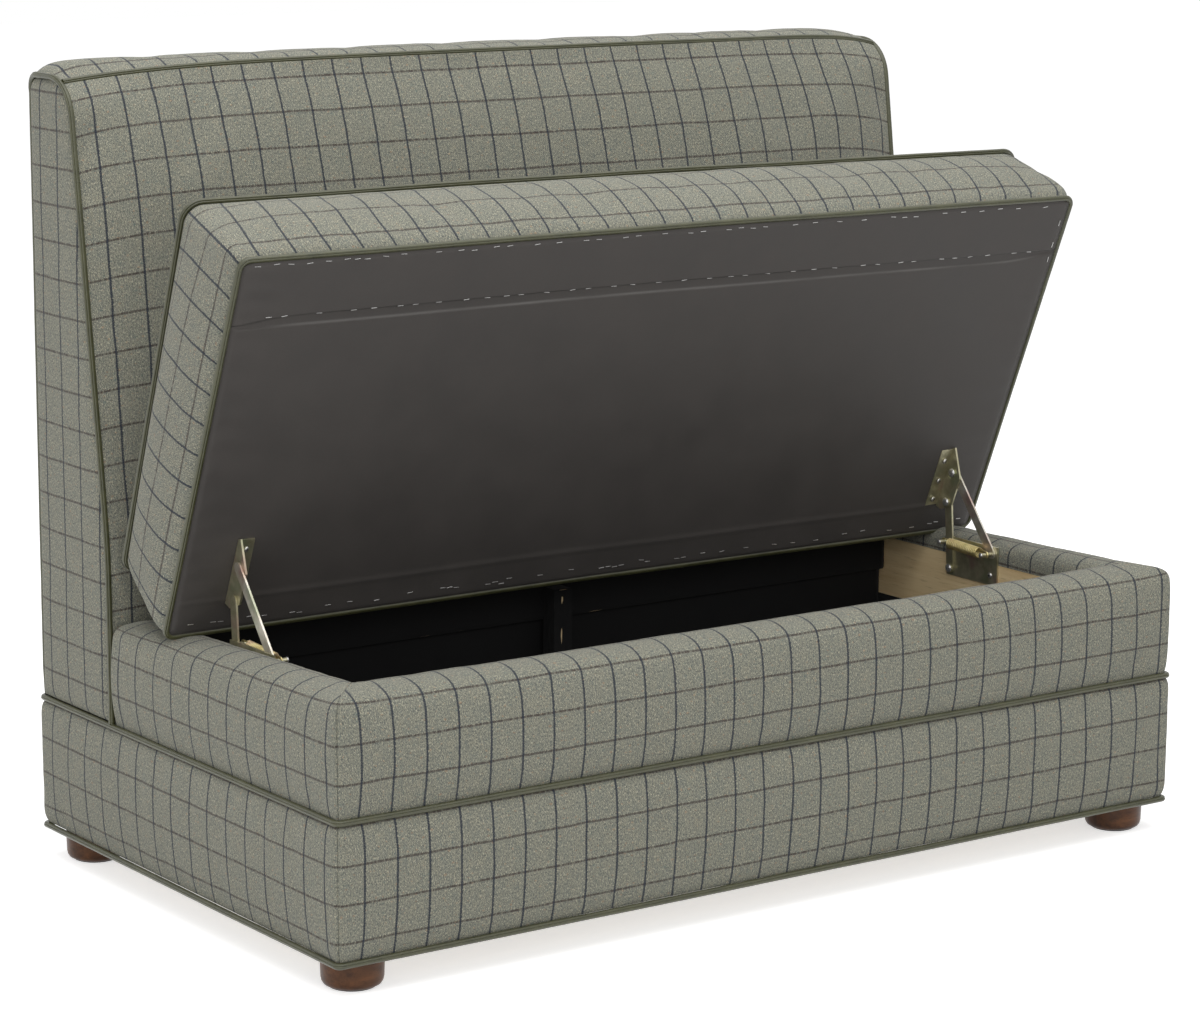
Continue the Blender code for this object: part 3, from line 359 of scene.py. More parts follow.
def line_at(line, share):
    k = min(share * (len(line) - 1), len(line) - 1 - 1e-6)
    low = int(k)
    return line[low] + (line[low + 1] - line[low]) * (k - low)


def closer(share):
    """Even shares of a length, drawn closer together towards its two ends."""
    return share - 0.75 * math.sin(math.tau * share) / math.tau


CLOTH_FRAMES = 20
CLOTH = {"quality": 4, "tension_stiffness": 30, "compression_stiffness": 30,
         "shear_stiffness": 12, "bending_stiffness": 2, "air_damping": 4, "shrink_min": -0.006,
         "vertex_group_mass": "seam", "use_pressure": True}


def settle(columns, rows, face, cap, push):
    """Sew a sheet of cloth down at its edges, blow it up from behind and keep how far it moved."""
    moved = np.zeros((columns + 1, rows + 1, 3))
    step = rows + 1
    spots = [(i, j) for i in range(columns + 1) for j in range(step)]
    points = np.array([face(i / columns, j / rows) for i, j in spots])
    firsts = [i * step + j for i, j in spots if i < columns and j < rows]
    data = bpy.data.meshes.new("sewn_sheet")
    data.from_pydata(points.tolist(), [], [(k, k + step, k + step + 1, k + 1) for k in firsts])
    sheet = bpy.data.objects.new("sewn_sheet", data)
    scene.collection.objects.link(sheet)
    seam = [i * step + j for i, j in spots if i in (0, columns) or j in (0, rows)]
    sheet.vertex_groups.new(name="seam").add(seam, 1.0, "REPLACE")
    fabric = sheet.modifiers.new("fabric", "CLOTH")
    for name, value in CLOTH.items():
        setattr(fabric.settings, name, value)
    fabric.settings.effector_weights.gravity = 0
    fabric.settings.uniform_pressure_force = push
    fabric.collision_settings.use_collision = False
    fabric.point_cache.frame_start, fabric.point_cache.frame_end = 1, CLOTH_FRAMES
    for number in range(1, CLOTH_FRAMES + 1):
        scene.frame_set(number)
    rested = sheet.evaluated_get(bpy.context.evaluated_depsgraph_get())
    blown = rested.to_mesh()
    places = np.empty(len(points) * 3)
    blown.vertices.foreach_get("co", places)
    rested.to_mesh_clear()
    bpy.data.objects.remove(sheet, do_unlink=True)
    bpy.data.meshes.remove(data)
    scene.frame_set(1)
    moved = (places.reshape(-1, 3) - points).reshape(columns + 1, step, 3)
    length = np.linalg.norm(moved, axis=2, keepdims=True)
    moved = moved * (cap * np.tanh(length / cap) / np.maximum(length, 1e-9))
    for _ in range(2):
        inner = (moved[:-2, 1:-1] + moved[2:, 1:-1] + moved[1:-1, :-2] + moved[1:-1, 2:]) / 4
        moved[1:-1, 1:-1] = 0.5 * moved[1:-1, 1:-1] + 0.5 * inner

    def relief(a, c):
        x, y = min(a * columns, columns - 1e-6), min(c * rows, rows - 1e-6)
        i, j = int(x), int(y)
        s, t = x - i, y - j
        return ((moved[i, j] * (1 - t) + moved[i, j + 1] * t) * (1 - s)
                + (moved[i + 1, j] * (1 - t) + moved[i + 1, j + 1] * t) * s)

    return relief


def block(name, counts, place, cloth, finish, body, crease=50.0):
    """A closed block of small faces.

    place gives a point from shares of the block's sides, and cloth its place on the cloth's map.
    """
    columns, layers, rows = counts
    numbers, points, faces, threads = {}, [], [], []

    def quad(side, corners):
        face = []
        for i, j, k in corners:
            a, b, c = i / columns, j / layers, k / rows
            if (i, j, k) not in numbers:
                numbers[i, j, k] = len(points)
                points.append(place(a, b, c))
            face.append(numbers[i, j, k])
            threads.append(cloth(side, a, b, c))
        faces.append(face)

    for i in range(columns):
        far = i + 1
        for k in range(rows):
            top = k + 1
            quad("outer", ((i, 0, k), (far, 0, k), (far, 0, top), (i, 0, top)))
            quad("inner", ((i, layers, k), (i, layers, top), (far, layers, top), (far, layers, k)))
        for j in range(layers):
            deep = j + 1
            quad("low", ((i, j, 0), (i, deep, 0), (far, deep, 0), (far, j, 0)))
            quad("high", ((i, j, rows), (far, j, rows), (far, deep, rows), (i, deep, rows)))
    for j in range(layers):
        deep = j + 1
        for k in range(rows):
            top = k + 1
            quad("start", ((0, j, k), (0, j, top), (0, deep, top), (0, deep, k)))
            quad("end", ((columns, j, k), (columns, deep, k),
                         (columns, deep, top), (columns, j, top)))
    piece = new_piece(name, points, faces, finish, body, crease)
    chart = piece.data.uv_layers.new(name="cloth")
    chart.data.foreach_set("uv", np.array(threads, dtype=np.float32).ravel())
    bm = bmesh.new()
    bm.from_mesh(piece.data)
    if bm.calc_volume(signed=True) < 0:
        bmesh.ops.reverse_faces(bm, faces=bm.faces)
        bm.to_mesh(piece.data)
    bm.free()
    return piece


def unevenness(x, y, z):
    """The slight hills and hollows of hand-laid padding, within about a millimetre."""
    hills = noise.noise((x * 9.0, y * 9.0, z * 9.0))
    return 0.0009 * hills + 0.0004 * noise.noise((x * 31.0, y * 31.0, z * 31.0))


def round_corner(distance, inward, end_gap):
    """Along a straight face and half round its corner: (along the face, pulled in from it)."""
    radius = max(CORNER_ROUND - inward, LEAST_ROUND)
    straight = end_gap - radius
    if distance <= straight:
        return distance, 0.0
    angle = min((distance - straight) / radius, math.pi / 4)
    return straight + radius * math.sin(angle), radius * (1 - math.cos(angle))


def corner_length(inward, end_gap):
    radius = max(CORNER_ROUND - inward, LEAST_ROUND)
    return end_gap - radius + radius * math.pi / 4


def front_face(sign):
    """Places on a front or rear cover, mitred and rounded at both ends."""
    def place(along, inward, height):
        gap = HALF_W - inward - GAP
        reach = (2 * along - 1) * corner_length(inward, gap)
        x, pulled = round_corner(abs(reach), inward, gap)
        return np.array((math.copysign(x, reach), sign * (HALF_D - inward - pulled), height)), reach
    return place


def side_face(sign, rear_y=None, drop=0.0):
    """Places on a side cover; drop lowers the rim towards the rear.

    Without rear_y both ends are mitred.
    """
    def place(along, inward, height):
        gap = HALF_D - inward - GAP
        ahead = -corner_length(inward, gap)
        behind = -ahead if rear_y is None else rear_y
        reach = ahead + (behind - ahead) * along
        y, pulled = abs(reach), 0.0
        if reach <= 0 or rear_y is None:
            y, pulled = round_corner(y, inward, gap)
        lowered = height - max(0.0, height - RAIL_TOP) * along * drop / (RIM_TOP - RAIL_TOP)
        point = np.array((sign * (HALF_W - inward - pulled), math.copysign(y, reach), lowered))
        return point, reach
    return place


def padded_cover(name, lines, inside, face, columns, rows, chart, push, node, mitres=2):
    """Padding under cloth that follows a line of (inward, height) on a face.

    The second of the two lines is straighter and holds at the mitred corners.
    """
    outside, lengths = drawn_line(lines[0], rows)
    corner, _ = drawn_line(lines[1], rows, lines[0])
    first, last = face(0.0, 0.0, 0.0)[1], face(1.0, 0.0, 0.0)[1]
    middle = face(0.5, 0.0, 0.0)[0]

    def surface(a, c):
        share = closer(a)
        reach = face(share, 0.0, 0.0)[1]
        from_corner = min(reach - first, last - reach) if mitres == 2 else reach - first
        bend = math.exp(-(max(from_corner, 0.0) / CORNER_REACH) ** 1.5)
        inward, height = line_at(outside, c) * (1 - bend) + line_at(corner, c) * bend
        swell = math.sin(math.pi * c) ** 0.5 if 0 < c < 1 else 0.0
        inward += SEAM_DENT * math.exp(-(from_corner / SEAM_WIDTH) ** 2)
        inward -= swell * (1 - bend) * unevenness(share * 7.3 + middle[0], middle[1], height)
        return face(share, inward, height)[0]

    relief = settle(columns // 2, rows // 2, surface, COVER_SWELL, push)

    def place(a, b, c):
        if b < 0.5:
            return surface(a, c) + relief(a, c)
        return face(closer(a), *inside(c, outside))[0]

    def cloth(side, a, b, c):
        inward, height = outside[round(c * rows)]
        return chart(face(closer(a), inward, height)[1], lengths[round(c * rows)])

    piece = block(name, (columns, 1, rows), place, cloth, tweed, "frame")
    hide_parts(node)
    return piece


def behind_band(c, outside):
    return PADDING, outside[0][1] + (outside[-1][1] - outside[0][1]) * c


def front_chart(start, level):
    """The cloth's map on a front or rear cover, its check counted from the left."""
    return lambda reach, length: (reach + start, length + level)


def side_chart(level):
    """The cloth's map on a side cover, its check counted from the rear."""
    return lambda reach, length: ((SIDE_FIRST - reach) * CHECK_UP / SIDE_PITCH, length + level)


band_chart, band_side_chart = front_chart(BAND_START, BAND_LEVEL), side_chart(BAND_LEVEL)
for label, face, counts, chart, push in (
        ("front", front_face(-1), (240, 30), band_chart, 1.5),
        ("rear", front_face(1), (160, 24), band_chart, -1.5),
        ("left", side_face(-1), (140, 30), band_side_chart, -1.5),
        ("right", side_face(1), (140, 30), band_side_chart, 1.5)):
    padded_cover(f"tweed_band_{label}", (BAND_FACE, BAND_CORNER), behind_band, face, *counts, chart,
                 push, f"base_band_{label}")

# Seat box covers: the same tweed over thicker padding, rolled over the rails and tacked inside.
# The three covers meet in stitched seams up the front corners and in mitres across the top.
RIM_ROWS, RIM_REAR_Y = 44, 0.1592
RIM_START, RIM_LEVEL = 0.5793, -0.0398
RAIL_INNER, TURN_INWARD, TURN_LEVEL = 0.0678, 0.06, 0.3105
RIM_LINE = [(0.0042, 0.2016), (0.0036, 0.2060), (0.0016, 0.2160), (-0.0004, 0.2300),
            (-0.0014, 0.2480), (-0.0016, 0.2640), (-0.0010, 0.2820), (0.0003, 0.2980),
            (0.0022, 0.3110), (0.0044, 0.3205), (0.0086, 0.3285), (0.0170, 0.3342),
            (0.0270, 0.3370), (0.0370, 0.3382), (0.0480, 0.3378), (0.0585, 0.3350),
            (0.0660, 0.3285), (0.0690, 0.3185), (0.0692, 0.3090), (0.0692, 0.3032)]
RIM_CORNER = [(0.0038, 0.2018), (0.0026, 0.2060), (0.0014, 0.2160), (0.0006, 0.2300),
              (0.0002, 0.2480), (0.0001, 0.2640), (0.0001, 0.2820), (0.0002, 0.2980),
              (0.0006, 0.3130), (0.0018, 0.3240), (0.0054, 0.3314), (0.0130, 0.3356),
              (0.0250, 0.3374), (0.0370, 0.3384), (0.0480, 0.3382), (0.0585, 0.3354),
              (0.0660, 0.3288), (0.0690, 0.3185), (0.0692, 0.3090), (0.0692, 0.3032)]


def behind_rim(c, outside):
    """Up the rail's face, across its top and down its inner face, under the turned-in cloth."""
    inward, height = outside[round(c * (len(outside) - 1))]
    if height < TURN_LEVEL and inward > TURN_INWARD:
        return RAIL_INNER, min(height, RAIL_TOP)
    if inward > PADDING:
        return min(inward, RAIL_INNER), RAIL_TOP
    return PADDING, min(height, RAIL_TOP)


rim_chart, rim_side_chart = front_chart(RIM_START, RIM_LEVEL), side_chart(RIM_LEVEL)
for label, face, columns, chart, push, mitres in (
        ("front", front_face(-1), 240, rim_chart, 1.5, 2),
        ("left", side_face(-1, RIM_REAR_Y, 0.013), 110, rim_side_chart, -1.5, 1),
        ("right", side_face(1, RIM_REAR_Y, 0.010), 110, rim_side_chart, 1.5, 1)):
    rim = padded_cover(f"tweed_rim_{label}", (RIM_LINE, RIM_CORNER), behind_rim, face, columns,
                       RIM_ROWS, chart, push, f"seat_box_cover_{label}", mitres)
    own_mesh(rim)

# Base piping: cord in olive leather, sewn into the seams under the base bands and the seat box.
# The leather is pulled tight, so its fold shows as a fine line along the cord.
PIPING_RADIUS, PIPING_INSET, PIPING_CORNER = 0.0037, 0.0012, 0.006
LOWER_PIPING_Z, UPPER_PIPING_Z = 0.0392, 0.1990
FOLD_HALF, FOLD_DEPTH, FOLD_WIDTH = 0.42, 0.24, 0.16


def olive_leather():
    made, tree, shader = new_finish("olive_leather_finish")
    place = own_place(tree)
    shade = grained(tree, place, 38.0, 4.0)
    scuffs = grained(tree, place, 420.0, 2.0)
    cells = {"Vector": place, "Scale": 1150.0}
    pebble = shader_node(tree, "TexVoronoi", cells, feature="DISTANCE_TO_EDGE").outputs[0]
    hide = layered(tree, (0.037, 0.039, 0.0145), [
        (shade, 0.3, 0.7, 0.0, 1.0, (0.063, 0.064, 0.0260)),
        (scuffs, 0.56, 0.75, 0.0, 0.45, (0.098, 0.098, 0.050))])
    set_shader(tree, shader, hide, spread(tree, shade, 0.2, 0.8, 0.27, 0.38),
               {"Coat Weight": 0.15, "Coat Roughness": 0.22})
    raise_surface(tree, shader, spread(tree, pebble, 0.0, 0.22), 0.30, 0.00022)
    return made


leather = olive_leather()


def rounded_loop(half_x, low_y, high_y, radius, steps=8, spacing=0.008):
    """A rectangle with round corners as close points, anticlockwise."""
    turns = []
    for x, y, quarter in ((half_x, high_y, 0), (-half_x, high_y, 1),
                          (-half_x, low_y, 2), (half_x, low_y, 3)):
        middle_x = x - math.copysign(radius, x)
        middle_y = y - radius if quarter < 2 else y + radius
        angles = [math.pi / 2 * (quarter + k / steps) for k in range(steps + 1)]
        turns.append([(middle_x + radius * math.cos(angle), middle_y + radius * math.sin(angle))
                      for angle in angles])
    points = []
    for turn, following in zip(turns, turns[1:] + turns[:1]):
        points += turn
        (x1, y1), (x2, y2) = turn[-1], following[0]
        count = int(math.dist((x1, y1), (x2, y2)) / spacing)
        points += [(x1 + (x2 - x1) * k / count, y1 + (y2 - y1) * k / count)
                   for k in range(1, count)]
    return points


def piping(name, path, upward, closed, body, node, fold):
    """Leather drawn round a cord: a swept round with one fold line pressed in at an angle."""
    path = np.array(path, float)
    if closed:
        ahead = np.roll(path, -1, axis=0) - np.roll(path, 1, axis=0)
    else:
        ahead = np.gradient(path, axis=0)
    plain = np.linspace(FOLD_HALF, math.tau - FOLD_HALF, 13, endpoint=False)
    offsets = [-FOLD_HALF, -0.27, -0.14, 0.0, 0.14, 0.27, *plain]
    sides = len(offsets)
    points, faces = [], []
    for centre, forward in zip(path, ahead):
        forward = forward / np.linalg.norm(forward)
        out = np.cross(forward, upward)
        out /= np.linalg.norm(out)
        over = np.cross(out, forward)
        lump = 0.035 * noise.noise(tuple(centre * 60.0)) + 0.02 * noise.noise(tuple(centre * 190.0))
        for off in offsets:
            pressed = 1 - FOLD_DEPTH * math.exp(-(off / FOLD_WIDTH) ** 2)
            radius = PIPING_RADIUS * min(1 + lump, 1.02) * pressed
            aim = math.cos(fold + off) * out + math.sin(fold + off) * over
            points.append(centre + radius * aim)
    count = len(path)
    for k in range(count if closed else count - 1):
        after = (k + 1) % count
        for side in range(sides):
            beside = (side + 1) % sides
            faces.append((k * sides + side, after * sides + side,
                          after * sides + beside, k * sides + beside))
    if not closed:
        faces.append(tuple(range(sides)))
        faces.append(tuple(range(len(points) - 1, len(points) - 1 - sides, -1)))
    piece = new_piece(name, points, faces, leather, body, 70.0)
    bm = bmesh.new()
    bm.from_mesh(piece.data)
    bmesh.ops.recalc_face_normals(bm, faces=bm.faces)
    bm.to_mesh(piece.data)
    bm.free()
    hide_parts(node)
    return piece


for label, level in (("lower", LOWER_PIPING_Z), ("upper", UPPER_PIPING_Z)):
    loop = rounded_loop(HALF_W - PIPING_INSET, -HALF_D + PIPING_INSET, HALF_D - PIPING_INSET,
                        PIPING_CORNER)
    path = [(x, y, level + 0.0006 * noise.noise((x * 5, y * 5, level * 40))) for x, y in loop]
    piping(f"leather_piping_{label}", path, (0, 0, 1), True, "frame", f"base_piping_{label}",
           fold=0.30)

# Compartment lining: black non-woven cloth, laid over the floor and up the four walls as one tray.
# Another strip is pulled over the rear rail and left hanging, and a third wraps the centre post.
LINER_X, LINER_FRONT, LINER_REAR = 0.5394, -0.2754, 0.1484
LINER_LOW, LINER_TOP = 0.0575, 0.2260
LINER_CLOTH, LINER_STEP, LINER_RIPPLE, ON_WALL = 0.0009, 0.02, 0.0016, 1e-5
WRAP_ROWS, WRAP_HALF, WRAP_HANG = 36, 0.5385, 0.36
RAIL_WRAP = [(0.1448, 0.2000), (0.1443, 0.2300), (0.1436, 0.2540), (0.1425, 0.2583),
             (0.1380, 0.2591), (0.1346, 0.2598), (0.1341, 0.2640), (0.1340, 0.2900),
             (0.1341, 0.3140), (0.1350, 0.3186), (0.1390, 0.3192), (0.1560, 0.3192)]
POST_HALF_X, POST_HALF_Y, POST_Y, POST_FOOT, POST_RISE = 0.0134, 0.0121, 0.1222, 0.0606, 0.2404


def pressed_cloth(name, dark, light, roughness, folded=False):
    """Non-woven cloth: pressed fibres with a soft sheen, faintly clouded."""
    made, tree, shader = new_finish(name)
    place = own_place(tree)
    fibres = grained(tree, place, 700.0, 4.0, 0.7)
    clouds = grained(tree, place, 14.0, 4.0)
    dots = shader_node(tree, "TexVoronoi", {"Vector": place, "Scale": 640.0}).outputs[0]
    share = maths(tree, "ADD", maths(tree, "MULTIPLY", clouds, 0.65),
                  maths(tree, "MULTIPLY", fibres, 0.35))
    layers = [(share, 0.32, 0.68, 0.0, 1.0, light)]
    # folded lays painted light from the fold attribute: a pale highlight on the ridge and a dark
    # shade in the crease.
    if folded:
        fold = shader_node(tree, "Attribute", attribute_name="fold").outputs["Fac"]
        layers += [(fold, 0.0, 1.0, 0.0, 1.0, (0.120, 0.113, 0.107)),
                   (fold, -1.0, 0.0, 1.0, 0.0, (0.012, 0.011, 0.010))]
    set_shader(tree, shader, layered(tree, dark, layers),
               spread(tree, clouds, 0.2, 0.8, roughness - 0.08, roughness + 0.08),
               {"Sheen Weight": 0.05, "Sheen Roughness": 0.6, "Specular IOR Level": 0.26})
    weave = maths(tree, "ADD", fibres, maths(tree, "MULTIPLY", dots, 0.4))
    raise_surface(tree, shader, weave, 0.30, 0.0004)
    return made


black_cloth = pressed_cloth("black_cloth_finish", (0.0017, 0.0017, 0.0019),
                            (0.0047, 0.0047, 0.0050), 0.86)


def thicken(piece, thickness):
    shell = piece.modifiers.new("thickness", "SOLIDIFY")
    shell.thickness = thickness
    shell.offset = -1.0
    return piece


def cloth_sheet(name, columns, rows, place, thickness, finish, body, closed=False):
    """A sheet of cloth from shares of its width and length, its thickness on the inner side."""
    around, step = columns if closed else columns + 1, rows + 1
    points = [place(i / columns, j / rows) for i in range(around) for j in range(step)]
    faces = []
    for i in range(columns):
        this, after = i * step, (i + 1) % around * step
        faces += [(this + j, after + j, after + j + 1, this + j + 1) for j in range(rows)]
    return thicken(new_piece(name, points, faces, finish, body), thickness)


def liner_tray():
    """Floor and four walls as one cross of cloth, its corners folded."""
    bm = bmesh.new()
    low = Vector((-LINER_X, LINER_FRONT, LINER_LOW))
    high = Vector((LINER_X, LINER_REAR, LINER_TOP))
    place = Matrix.Translation((low + high) / 2) @ Matrix.Diagonal((*(high - low), 1))
    bmesh.ops.create_cube(bm, size=1.0, matrix=place)
    top = max(bm.faces, key=lambda face: face.calc_center_median().z)
    bmesh.ops.delete(bm, geom=[top], context="FACES_ONLY")
    for axis in range(3):
        normal = Vector((axis == 0, axis == 1, axis == 2))
        level = low[axis] + LINER_STEP
        while level < high[axis] - LINER_STEP / 5:
            everything = bm.verts[:] + bm.edges[:] + bm.faces[:]
            bmesh.ops.bisect_plane(bm, geom=everything, plane_co=normal * level, plane_no=normal)
            level += LINER_STEP
    for vert in bm.verts:
        x, y, z = vert.co
        ripple = LINER_RIPPLE * (1 + noise.noise((x * 11.0, y * 11.0, z * 11.0))) / 2
        if z < LINER_LOW + ON_WALL:
            vert.co.z += ripple
        if abs(abs(x) - LINER_X) < ON_WALL:
            vert.co.x -= math.copysign(ripple, x)
        if abs(y - LINER_FRONT) < ON_WALL:
            vert.co.y += ripple
        if abs(y - LINER_REAR) < ON_WALL:
            vert.co.y -= ripple
        if z > LINER_TOP - ON_WALL:
            vert.co.z += 0.003 * noise.noise((x * 6.0, y * 6.0, 3.0))
    bmesh.ops.recalc_face_normals(bm, faces=bm.faces)
    bm.verts.index_update()
    points = [tuple(vert.co) for vert in bm.verts]
    faces = [[vert.index for vert in face.verts] for face in bm.faces]
    bm.free()
    return thicken(new_piece("liner_cloth", points, faces, black_cloth, "frame", 50.0), LINER_CLOTH)


liner = liner_tray()
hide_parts("compartment_liner")
wrap_line, wrap_lengths = drawn_line(RAIL_WRAP, WRAP_ROWS)


def rail_wrap(a, c):
    y, z = wrap_line[round(c * WRAP_ROWS)]
    x = (2 * a - 1) * WRAP_HALF
    hanging = max(0.0, 1 - c / WRAP_HANG)
    ripple = 0.0022 * hanging * math.sin(x * 38 + 2 * noise.noise((x * 4, 0, 1)))
    crease = 0.0007 * (1 + noise.noise((x * 24, z * 24, 5))) * (1 - hanging)
    post = max(0.0, 1 - abs(x) / 0.020)
    hem = 0.004 * hanging * noise.noise((x * 7, 2, 2))
    return (x, y - crease * (1 - post) - abs(ripple), z + hem)


wrap = cloth_sheet("rear_rail_cloth", 180, WRAP_ROWS, rail_wrap, 0.0006, black_cloth, "frame")


def post_wrap(a, c):
    """Round the post and in over its top, a little loose at the edges."""
    angle = math.tau * a
    near = max(abs(math.cos(angle)), abs(math.sin(angle)))
    share = min(1.0, (1 - c) / 0.055)
    loose = 1 + 0.05 * noise.noise((3 * math.cos(angle), 3 * math.sin(angle), c * 14))
    round_off = (0.84 + 0.16 / (near * 1.22)) * share * (loose if 0.02 < c < 0.93 else 1.0)
    x = POST_HALF_X * math.cos(angle) / near * min(round_off, 1.06)
    y = POST_Y + POST_HALF_Y * math.sin(angle) / near * min(round_off, 1.03)
    return (x, y, POST_FOOT + POST_RISE * min(1.0, c / 0.94))


post_cloth = cloth_sheet("post_cloth", 48, 60, post_wrap, 0.0005, black_cloth, "frame", closed=True)
finish_nodes(black_cloth, "compartment_rear_panel")

# Back frame: poplar gables with three rails and a centre stile between them, all under the padding.
# The boards are glued and screwed together and stand on the base boards.
finish_nodes(poplar_upright, "back_gable_left", "back_gable_right", "back_stile_centre")
finish_nodes(poplar_along_x, "back_rail_top", "back_rail_middle", "back_rail_bottom")

# Back padding: tweed over foam: a crowned front, a top band, a flat rear and a panel each side.
# The front and the top band meet in the piped seam of the front top edge.
BACK_FRONT_Y, BACK_TOP_Z, BACK_LOW = 0.1640, 0.9555, 0.1993
KNEE_Z, KNEE_BLEND, RAKE = 0.4100, 0.040, math.radians(7.8)
PAD_END_X, WRAP_END_X, LIP = 0.5973, 0.6050, 0.0050
FRONT_PAD, TOP_PAD = 0.040, 0.022
BACK_CORNER, REAR_CORNER, EDGE_INSET, SEAM_OFFSET = 0.053, 0.024, 0.0056, 0.0040
TOP_CROWN, TOP_CROWN_RIGHT = 0.0150, 0.0135
CROWN = [(0.1993, 0.0), (0.4100, 0.0), (0.4700, 0.0006), (0.5500, 0.0085), (0.6500, 0.0165),
         (0.7500, 0.0208), (0.8120, 0.0208), (0.8500, 0.0178), (0.8760, 0.0140), (0.9000, 0.0088),
         (0.9180, 0.0035), (0.9330, -0.0022), (0.9470, -0.0088)]
SEAM_RISE = np.array((-0.3, 1.0))
BACK_START, BACK_LEVEL = 0.5800, 20 * CHECK_ACROSS - 0.024
FRONT_ROWS, FRONT_COLUMNS, TOP_ROWS, SIDE_COLUMNS = 120, 200, 28, 28
SIDE_LOW, SIDE_PANEL, SIDE_LEVEL, REAR_PANEL = 0.2035, 0.012, 0.0395, 0.012


def back_line(z):
    """The raked front edge: upright by the seat, leaning back above the knee."""
    rise = z - KNEE_Z
    return BACK_FRONT_Y + math.tan(RAKE) * (rise + math.hypot(rise, KNEE_BLEND)) / 2


def corner_arc(front, top, steps):
    """The round front top corner of the side outline, from the raked edge to the top."""
    radius = max(BACK_CORNER - top, 0.002)
    middle_z = BACK_TOP_Z - top - radius
    middle_y = back_line(middle_z) + front + radius / math.cos(RAKE)
    first = math.pi - RAKE
    angles = [first + (math.pi / 2 - first) * k / steps for k in range(steps + 1)]
    return [(middle_y + radius * math.cos(angle), middle_z + radius * math.sin(angle))
            for angle in angles]


def swell(along, rise=0.0):
    """From nothing at the side seams to full over most of the width, at once along the top."""
    return 1 - abs(2 * along - 1) ** (8 + (42 if along < 0.5 else 12) * rise)


def crown_height(along):
    """How far the top can stand over the side seams, a little less towards the right."""
    ease = min(1.0, max(0.0, (2 * along - 1) / 0.8))
    return TOP_CROWN + (TOP_CROWN_RIGHT - TOP_CROWN) * ease


def seam_lift(along):
    """The piped seam comes up slowly from the left side and more quickly from the right."""
    return crown_height(along) * (1 - abs(2 * along - 1) ** (5 if along < 0.5 else 12))


full_arc = corner_arc(0.0, 0.0, 12)
seam_point = np.array(full_arc[8])
seam_run = (np.array(full_arc[9]) - np.array(full_arc[7])) / math.dist(full_arc[9], full_arc[7])
seam_foot = seam_point - seam_run * SEAM_OFFSET
heights = [BACK_LOW, 0.25, 0.30, 0.33, 0.37, 0.39, 0.41, 0.43, 0.45, 0.49, 0.55, 0.62, 0.70, 0.78,
           0.84, 0.885]
end_points = [(back_line(z), z) for z in heights] + full_arc[0:7:2] + [tuple(seam_foot)]
middle_points = [(back_line(z) - bulge, z) for z, bulge in CROWN]
middle_points.append(tuple(seam_foot + SEAM_RISE * TOP_CROWN))
end_line, _ = drawn_line(end_points, FRONT_ROWS)
middle_line, middle_lengths = drawn_line(middle_points, FRONT_ROWS)


def inset(line, share):
    """The way into the padding at a place on the outline, as long as the lip is thick."""
    y, z = line_at(line, min(share + 0.01, 1.0)) - line_at(line, max(share - 0.01, 0.0))
    return np.array((0.0, z, -y)) * LIP / math.hypot(y, z)


def eased(share):
    """From 0 to 1 with no break at either end."""
    share = min(1.0, max(0.0, share))
    return share * share * (3 - 2 * share)


def rising(c):
    return eased((c - 0.80) / 0.20)


def off_edges(a, c):
    """From nothing along the four edges of a pad to 1 in its middle."""
    if not (0 < a < 1 and 0 < c < 1):
        return 0.0
    return (math.sin(math.pi * c) * math.sin(math.pi * a)) ** 0.5


def with_lip(point, line, b, c):
    """Carry a point of the cloth into the lip over the side panel's edge, and to the lip's root."""
    if b > 0.1:
        point = point + inset(line, c)
    if b > 0.5:
        point[0] *= (PAD_END_X - GAP) / WRAP_END_X
    return point


def back_front(a, c):
    along = closer(a)
    near_seam = rising(c)
    full = swell(along) * (1 - near_seam) + seam_lift(along) / TOP_CROWN * near_seam
    y, z = line_at(end_line, c) + (line_at(middle_line, c) - line_at(end_line, c)) * full
    x = (2 * along - 1) * WRAP_END_X
    gathers = math.sin(x * 95 + 3 * noise.noise((x * 8, 0, 0))) * (c < 0.995)
    pucker = 0.0006 * math.exp(-(1 - c) / 0.03) * gathers
    return np.array((x, y - off_edges(a, c) * (1.6 * unevenness(x, 0.3, z) + pucker), z))


front_relief = settle(100, 60, back_front, 0.0035, 0.8)


def back_front_place(a, b, c):
    """Four layers: the cloth, the lip over the side panel's edge, the lip's root and the wood."""
    if b > 0.9:
        z = BACK_LOW + (BACK_TOP_Z - TOP_PAD - GAP - BACK_LOW) * c
        return np.array(((2 * closer(a) - 1) * PAD_END_X, back_line(z) + FRONT_PAD, z))
    return with_lip(back_front(a, c) + front_relief(a, c), end_line, b, c)


def back_front_cloth(side, a, b, c):
    x = (2 * closer(a) - 1) * WRAP_END_X
    from_end = WRAP_END_X - abs(x)
    droop = (0.0045 + 0.0040 * rising(c)) * math.exp(-from_end / 0.065)
    lean = 0.010 * max(0.0, x / WRAP_END_X) * rising(c) ** 2
    level = middle_lengths[round(c * FRONT_ROWS)] - middle_lengths[-1]
    return x + BACK_START + lean, level + BACK_LEVEL + droop


back_pad = block("tweed_back_front", (FRONT_COLUMNS, 3, FRONT_ROWS), back_front_place,
                 back_front_cloth, tweed, "frame")
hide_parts("back_front_pad")

